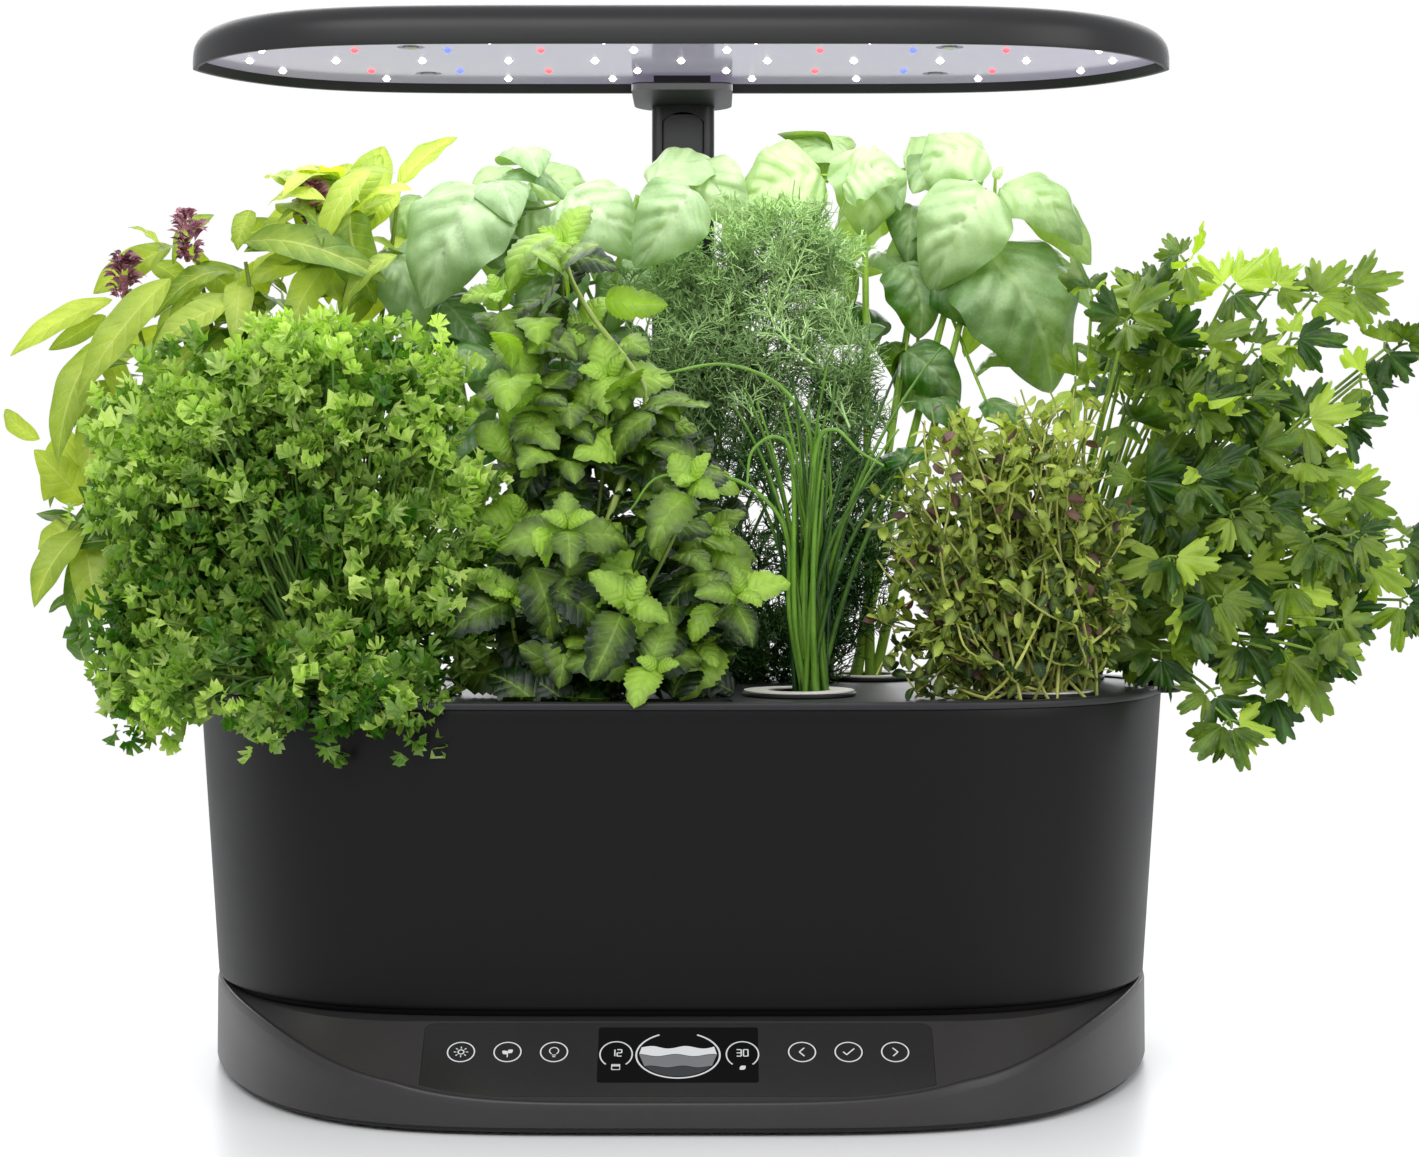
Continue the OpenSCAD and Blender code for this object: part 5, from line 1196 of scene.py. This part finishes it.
# Side branches in pairs along each spray, shorter towards its tip
PER_SPRAY, PER_BRANCH = 20, 8
k = np.repeat(np.arange(len(tip)), PER_SPRAY)
j = np.tile(np.arange(PER_SPRAY), len(tip))
u = 0.12 + 0.86 * (j // 2) / 10
o = spray[k, (u * 12).round().astype(int)]
side = unit(np.cross(d[k], unit(np.array([0, -1.0, 0.3]) + p.scatter(0.5, k))))
d = unit(d[k] * 0.8 + side * np.where(j % 2, 1, -1)[:, None] * 0.85 + p.scatter(0.2, k))
ln = (15 - 10 * u) * p.rng.uniform(0.75, 1.2, len(k))
branch = bends(o, o + d * ln[:, None], [0, 0, 1.2], 5)
p.add("threads", tubes(branch, 0.34, 0.2, 3), tone[k])
# Threads all along the side branches, in one piece above this height and one below it
SPLIT_Z = 268
q = np.repeat(np.arange(len(k)), PER_BRANCH)
o = branch[q, p.rng.integers(1, 5, len(q))]
e = o + (unit(d[q] * 0.9 + p.scatter(0.6, q))
         * (p.rng.uniform(3, 7, len(q)) * (1.2 - 0.5 * u[q]))[:, None])
tone = tone[k][q] + p.rng.normal(0, 0.12, len(q))
for kind, part in (("fine_threads", o[:, 2] > SPLIT_Z), ("low_threads", o[:, 2] <= SPLIT_Z)):
    p.add(kind, tubes(np.stack([o[part], e[part]], 1), 0.29, 0.19, 3), tone[part])
DILL = stem_mat("dill_thread", (30, 80, 8), (190, 228, 146), (150, 200, 90), 0.2, heart=0.0,
                bump=0.1)
p.write(threads=DILL, fine_threads=DILL, low_threads=DILL)

# Chives: hollow blades fanning from one tuft, some of them bent over
p = Plant("chives", 29, (54, -62))
n = 34
tips = np.vstack([np.stack([p.rng.normal(54, 13, n), p.rng.uniform(-82, -44, n),
                            p.rng.uniform(248, 304, n)], -1),
                  [(92, -50, 303), (110, -54, 312), (104, -64, 276), (22, -72, 288),
                   (84, -78, 262)]])
root = p.roots(len(tips), 3.0)
pull = p.lean(tips, -0.25, 0, 16)
for i, spread in enumerate((5, 4)):
    pull[:, i] += p.rng.normal(0, spread, len(tips))
p.add("blades", tubes(bends(root, tips, pull, 20), p.rng.uniform(1.0, 1.5, len(tips)), 0.45, 6),
      shades(p.rng, len(tips), 0.35, 0.22, 0.08))
for bent in (
        [(52, -63, 166), (46, -66, 200), (44, -70, 236), (24, -74, 256), (-7, -78, 258),
         (-20, -80, 244)],
        [(54, -64, 166), (50, -66, 200), (56, -70, 262), (45, -74, 292), (20, -76, 304),
         (-8, -78, 300)],
        [(53, -65, 166), (48, -68, 200), (47, -76, 262), (40, -80, 274), (30, -82, 268),
         (28, -84, 255)],
        [(56, -64, 166), (52, -68, 200), (56, -78, 266), (64, -82, 277), (74, -86, 268),
         (84, -88, 262)]):
    p.add("blades", tubes(spline(bent, 6)[None], 1.3, 0.5, 6), 0.75)
p.write(blades=stem_mat("chives_blade", (16, 58, 8), (122, 172, 54), (110, 190, 50), heart=0.0,
                        rough=0.34))

# Thyme: thin woody stems in a tangle, small oval leaves all along them
p = Plant("thyme", 31, (150, -60))
n = 226
end, d, near = heap(p.rng, n, [
    (134, -60, 206, 52, 40, 36), (150, -58, 262, 38, 36, 36), (102, -70, 188, 32, 36, 22),
    (174, -56, 222, 20, 34, 46), (116, -58, 250, 28, 32, 36), (92, -62, 226, 20, 30, 36),
    (166, -58, 278, 20, 30, 18), (112, -56, 274, 22, 26, 20), (136, -56, 284, 24, 28, 14)], 0.45)
lines = bends(p.roots(n, 10), end, p.scatter(20, end) + [0, 0, 10], 24)
t_ = np.linspace(0, 1, 24)[None, :, None]
wiggle = np.sin(t_ * p.rng.uniform(6, 18, (n, 1, 1)) + p.rng.uniform(0, 6, (n, 1, 3)))
lines = lines + 2.8 * wiggle * t_
p.add("stems", tubes(lines, 0.75, 0.4, 5), p.rng.uniform(0.2, 1, n))
SMALL = dict(form="oval", nu=5, nv=4, arch=0.1, fold=0.3)
k = np.repeat(np.arange(n), 21)
f = p.rng.uniform(0.3, 1, len(k))
o = lines[k, (f * 23).astype(int)]
d = unit(p.scatter(1, k) + [0, -0.25, 0.35])
s = p.rng.uniform(5.0, 9.5, len(k))
# The leaves are tinted lighter with height as painted light, darker low down as painted shade.
p.add("leaves", blades(p.rng, o, o + d * s[:, None], p.scatter(0.6, k) + [0, -0.5, 1], s * 0.55,
                       **SMALL),
      shades(p.rng, len(k), 0.22 + (o[:, 2] - 180) / 260, 0.22, 0.12))
k = p.rng.integers(0, n, 260)
o = lines[k, p.rng.integers(8, 24, len(k))]
d = unit(p.scatter(1, k) + [0, -0.5, 0])
p.add("old_leaves", blades(p.rng, o, o + d * 7.5, p.scatter(0.6, k) + [0, -0.5, 1], 4.4, **SMALL),
      p.rng.uniform(0, 1, len(k)))
p.write(
    stems=stem_mat("thyme_stem", (96, 106, 40), (190, 196, 100), (180, 190, 90), 0.1, heart=0.0),
    leaves=leaf_mat("thyme_leaf", (32, 60, 16), (196, 216, 96), (120, 140, 100),
                    (196, 220, 50), share=0.28, strength=0.2, rough=0.5),
    old_leaves=leaf_mat("thyme_old_leaf", (52, 34, 32), (122, 88, 78), (120, 100, 90),
                        (130, 80, 60), share=0.2, strength=0.2, rough=0.5))

# Flat parsley: stalks that fork into three lobed leaflets each
SPOTS = [
    (221, 0, 352), (213, 20, 337), (244, 20, 341), (262, 20, 341), (282, 30, 337),
    (297, 30, 342), (302, 20, 301), (289, 0, 283), (315, 30, 315), (324, 40, 317),
    (198, 10, 323), (192, 30, 301), (173, 0, 298), (229, 10, 314), (250, 0, 313), (267, 0, 318),
    (217, -10, 291), (239, -10, 291), (196, -10, 282), (270, -10, 282), (274, -10, 261),
    (246, -20, 269), (223, -30, 261), (217, -40, 256), (295, 20, 252), (276, 0, 239),
    (289, 0, 234), (257, -10, 239), (236, -30, 243), (300, 10, 221), (320, 20, 230),
    (320, 20, 203), (289, 0, 199), (280, 0, 208), (242, -20, 217), (224, -20, 222),
    (187, -40, 210), (258, 0, 217), (265, -10, 187), (240, -30, 188), (253, -30, 166),
    (206, -30, 183), (226, -40, 167), (232, -50, 155), (197, -30, 256), (179, -40, 248)]
p = Plant("flat_parsley", 37, (168, 50))
more = heap(p.rng, 84, [(222, 15, 282, 44, 44, 56), (262, 5, 236, 42, 42, 56),
                        (208, -15, 222, 38, 44, 44), (250, -32, 190, 34, 26, 24),
                        (196, 10, 320, 26, 34, 26)], 0.4)[0]
hub = np.vstack([SPOTS, more])
n = len(hub)
lines = bends(p.roots(n, 7), hub,
              p.lean(hub, -0.05, 0.1, np.maximum(10, 0.22 * (300 - hub[:, 2]))), 18)
p.add("stems", tubes(lines, 1.2, 0.7, 5), p.rng.uniform(0.2, 0.9, n))
out = unit(hub - [176, 30, 262])
for turn, size in ((0, 1.0), (1.15, 0.86), (-1.15, 0.86)):
    face = unit(p.scatter(0.35, hub) + [0, -0.9, 0.55])
    a = unit(out + [0, 0, -0.25] + p.scatter(0.25, hub))
    d = unit(a * math.cos(turn) + unit(np.cross(face, a)) * math.sin(turn))
    o = hub + d * 4
    p.add("stems", tubes(bends(hub, o, [0, 0, 0.5], 4), 0.6, 0.5, 4), 0.5)
    ln = p.rng.uniform(16, 24, n) * size
    p.add("leaves", fans(p.rng, o, o + d * ln[:, None], face, spread=80, lobes=3, depth=0.52,
                         teeth=11, bite=0.2, ruffle=0.14, waves=3, droop=0.2, nr=4, nt=44),
          shades(p.rng, n, 0.16, 0.18, 0.2))
p.write(stems=stem_mat("flat_stem", (60, 100, 36), (150, 180, 70), (150, 190, 60), heart=0.0),
        leaves=leaf_mat("flat_leaf", (36, 72, 10), (178, 204, 78), (110, 160, 70),
                        (190, 232, 10), share=0.36, strength=0.25, heart=0.0, count=0.0))

# ------------------------------------------------------------ floor and light ----

me = bpy.data.meshes.new("floor")
me.from_pydata([(-3, -3, 0), (3, -3, 0), (3, 3, 0), (-3, 3, 0)], [], [(0, 1, 2, 3)])
floor = bpy.data.objects.new("floor", me)
scene.collection.objects.link(floor)
m, t, surface = material("floor_white")
oc = t.object_coords()
dist = t.node("ShaderNodeVectorMath", i0=oc)
dist.operation = "LENGTH"
fade = t.ramp(dist.outputs["Value"], 0.42, 1.15)
tone = t.mix(t.noise(oc, 6.0, 3.0), (0.86, 0.86, 0.87), (0.9, 0.9, 0.905))
p = t.node("ShaderNodeBsdfPrincipled", Base_Color=tone, Roughness=0.32)
clear = t.node("ShaderNodeBsdfTransparent")
mixer = t.node("ShaderNodeMixShader", i0=fade, i1=p.outputs[0], i2=clear.outputs[0])
t.put(surface, mixer.outputs[0])
me.materials.append(m)

world = bpy.data.worlds.new("world")
scene.world = world
world.use_nodes = True
wt = Tree(world.node_tree)
world.node_tree.nodes.clear()
path = world.node_tree.nodes.new("ShaderNodeLightPath")
seen = wt.math("MAXIMUM", path.outputs["Is Camera Ray"], path.outputs["Is Transmission Ray"])
lit = wt.node("ShaderNodeBackground", Color=(0.84, 0.85, 0.87), Strength=0.8)
white = wt.node("ShaderNodeBackground", Color=(1, 1, 1), Strength=1.0)
both = wt.node("ShaderNodeMixShader", i0=seen, i1=lit.outputs[0], i2=white.outputs[0])
out = world.node_tree.nodes.new("ShaderNodeOutputWorld")
world.node_tree.links.new(both.outputs[0], out.inputs["Surface"])


def area(name, size, loc, aim, power):
    """A rectangular lamp at loc that faces aim."""
    d = bpy.data.lights.new(name, "AREA")
    d.shape, d.size, d.size_y, d.energy = "RECTANGLE", *size, power
    o = bpy.data.objects.new(name, d)
    o.location = loc
    o.rotation_euler = (Vector(aim) - Vector(loc)).to_track_quat("-Z", "Y").to_euler()
    scene.collection.objects.link(o)


area("key", (1.6, 1.0), (-0.5, -1.5, 1.5), (0, 0, 0.2), 24)
area("fill", (1.2, 1.2), (1.5, -1.2, 0.9), (0, 0, 0.2), 12)
area("back", (2.0, 1.0), (0, 1.5, 0.9), (0, 0, 0.28), 17)
area("hood_lamp", (0.40, 0.14), (0, 0.0055, 0.4365), (0, 0.0055, 0), 0.7)
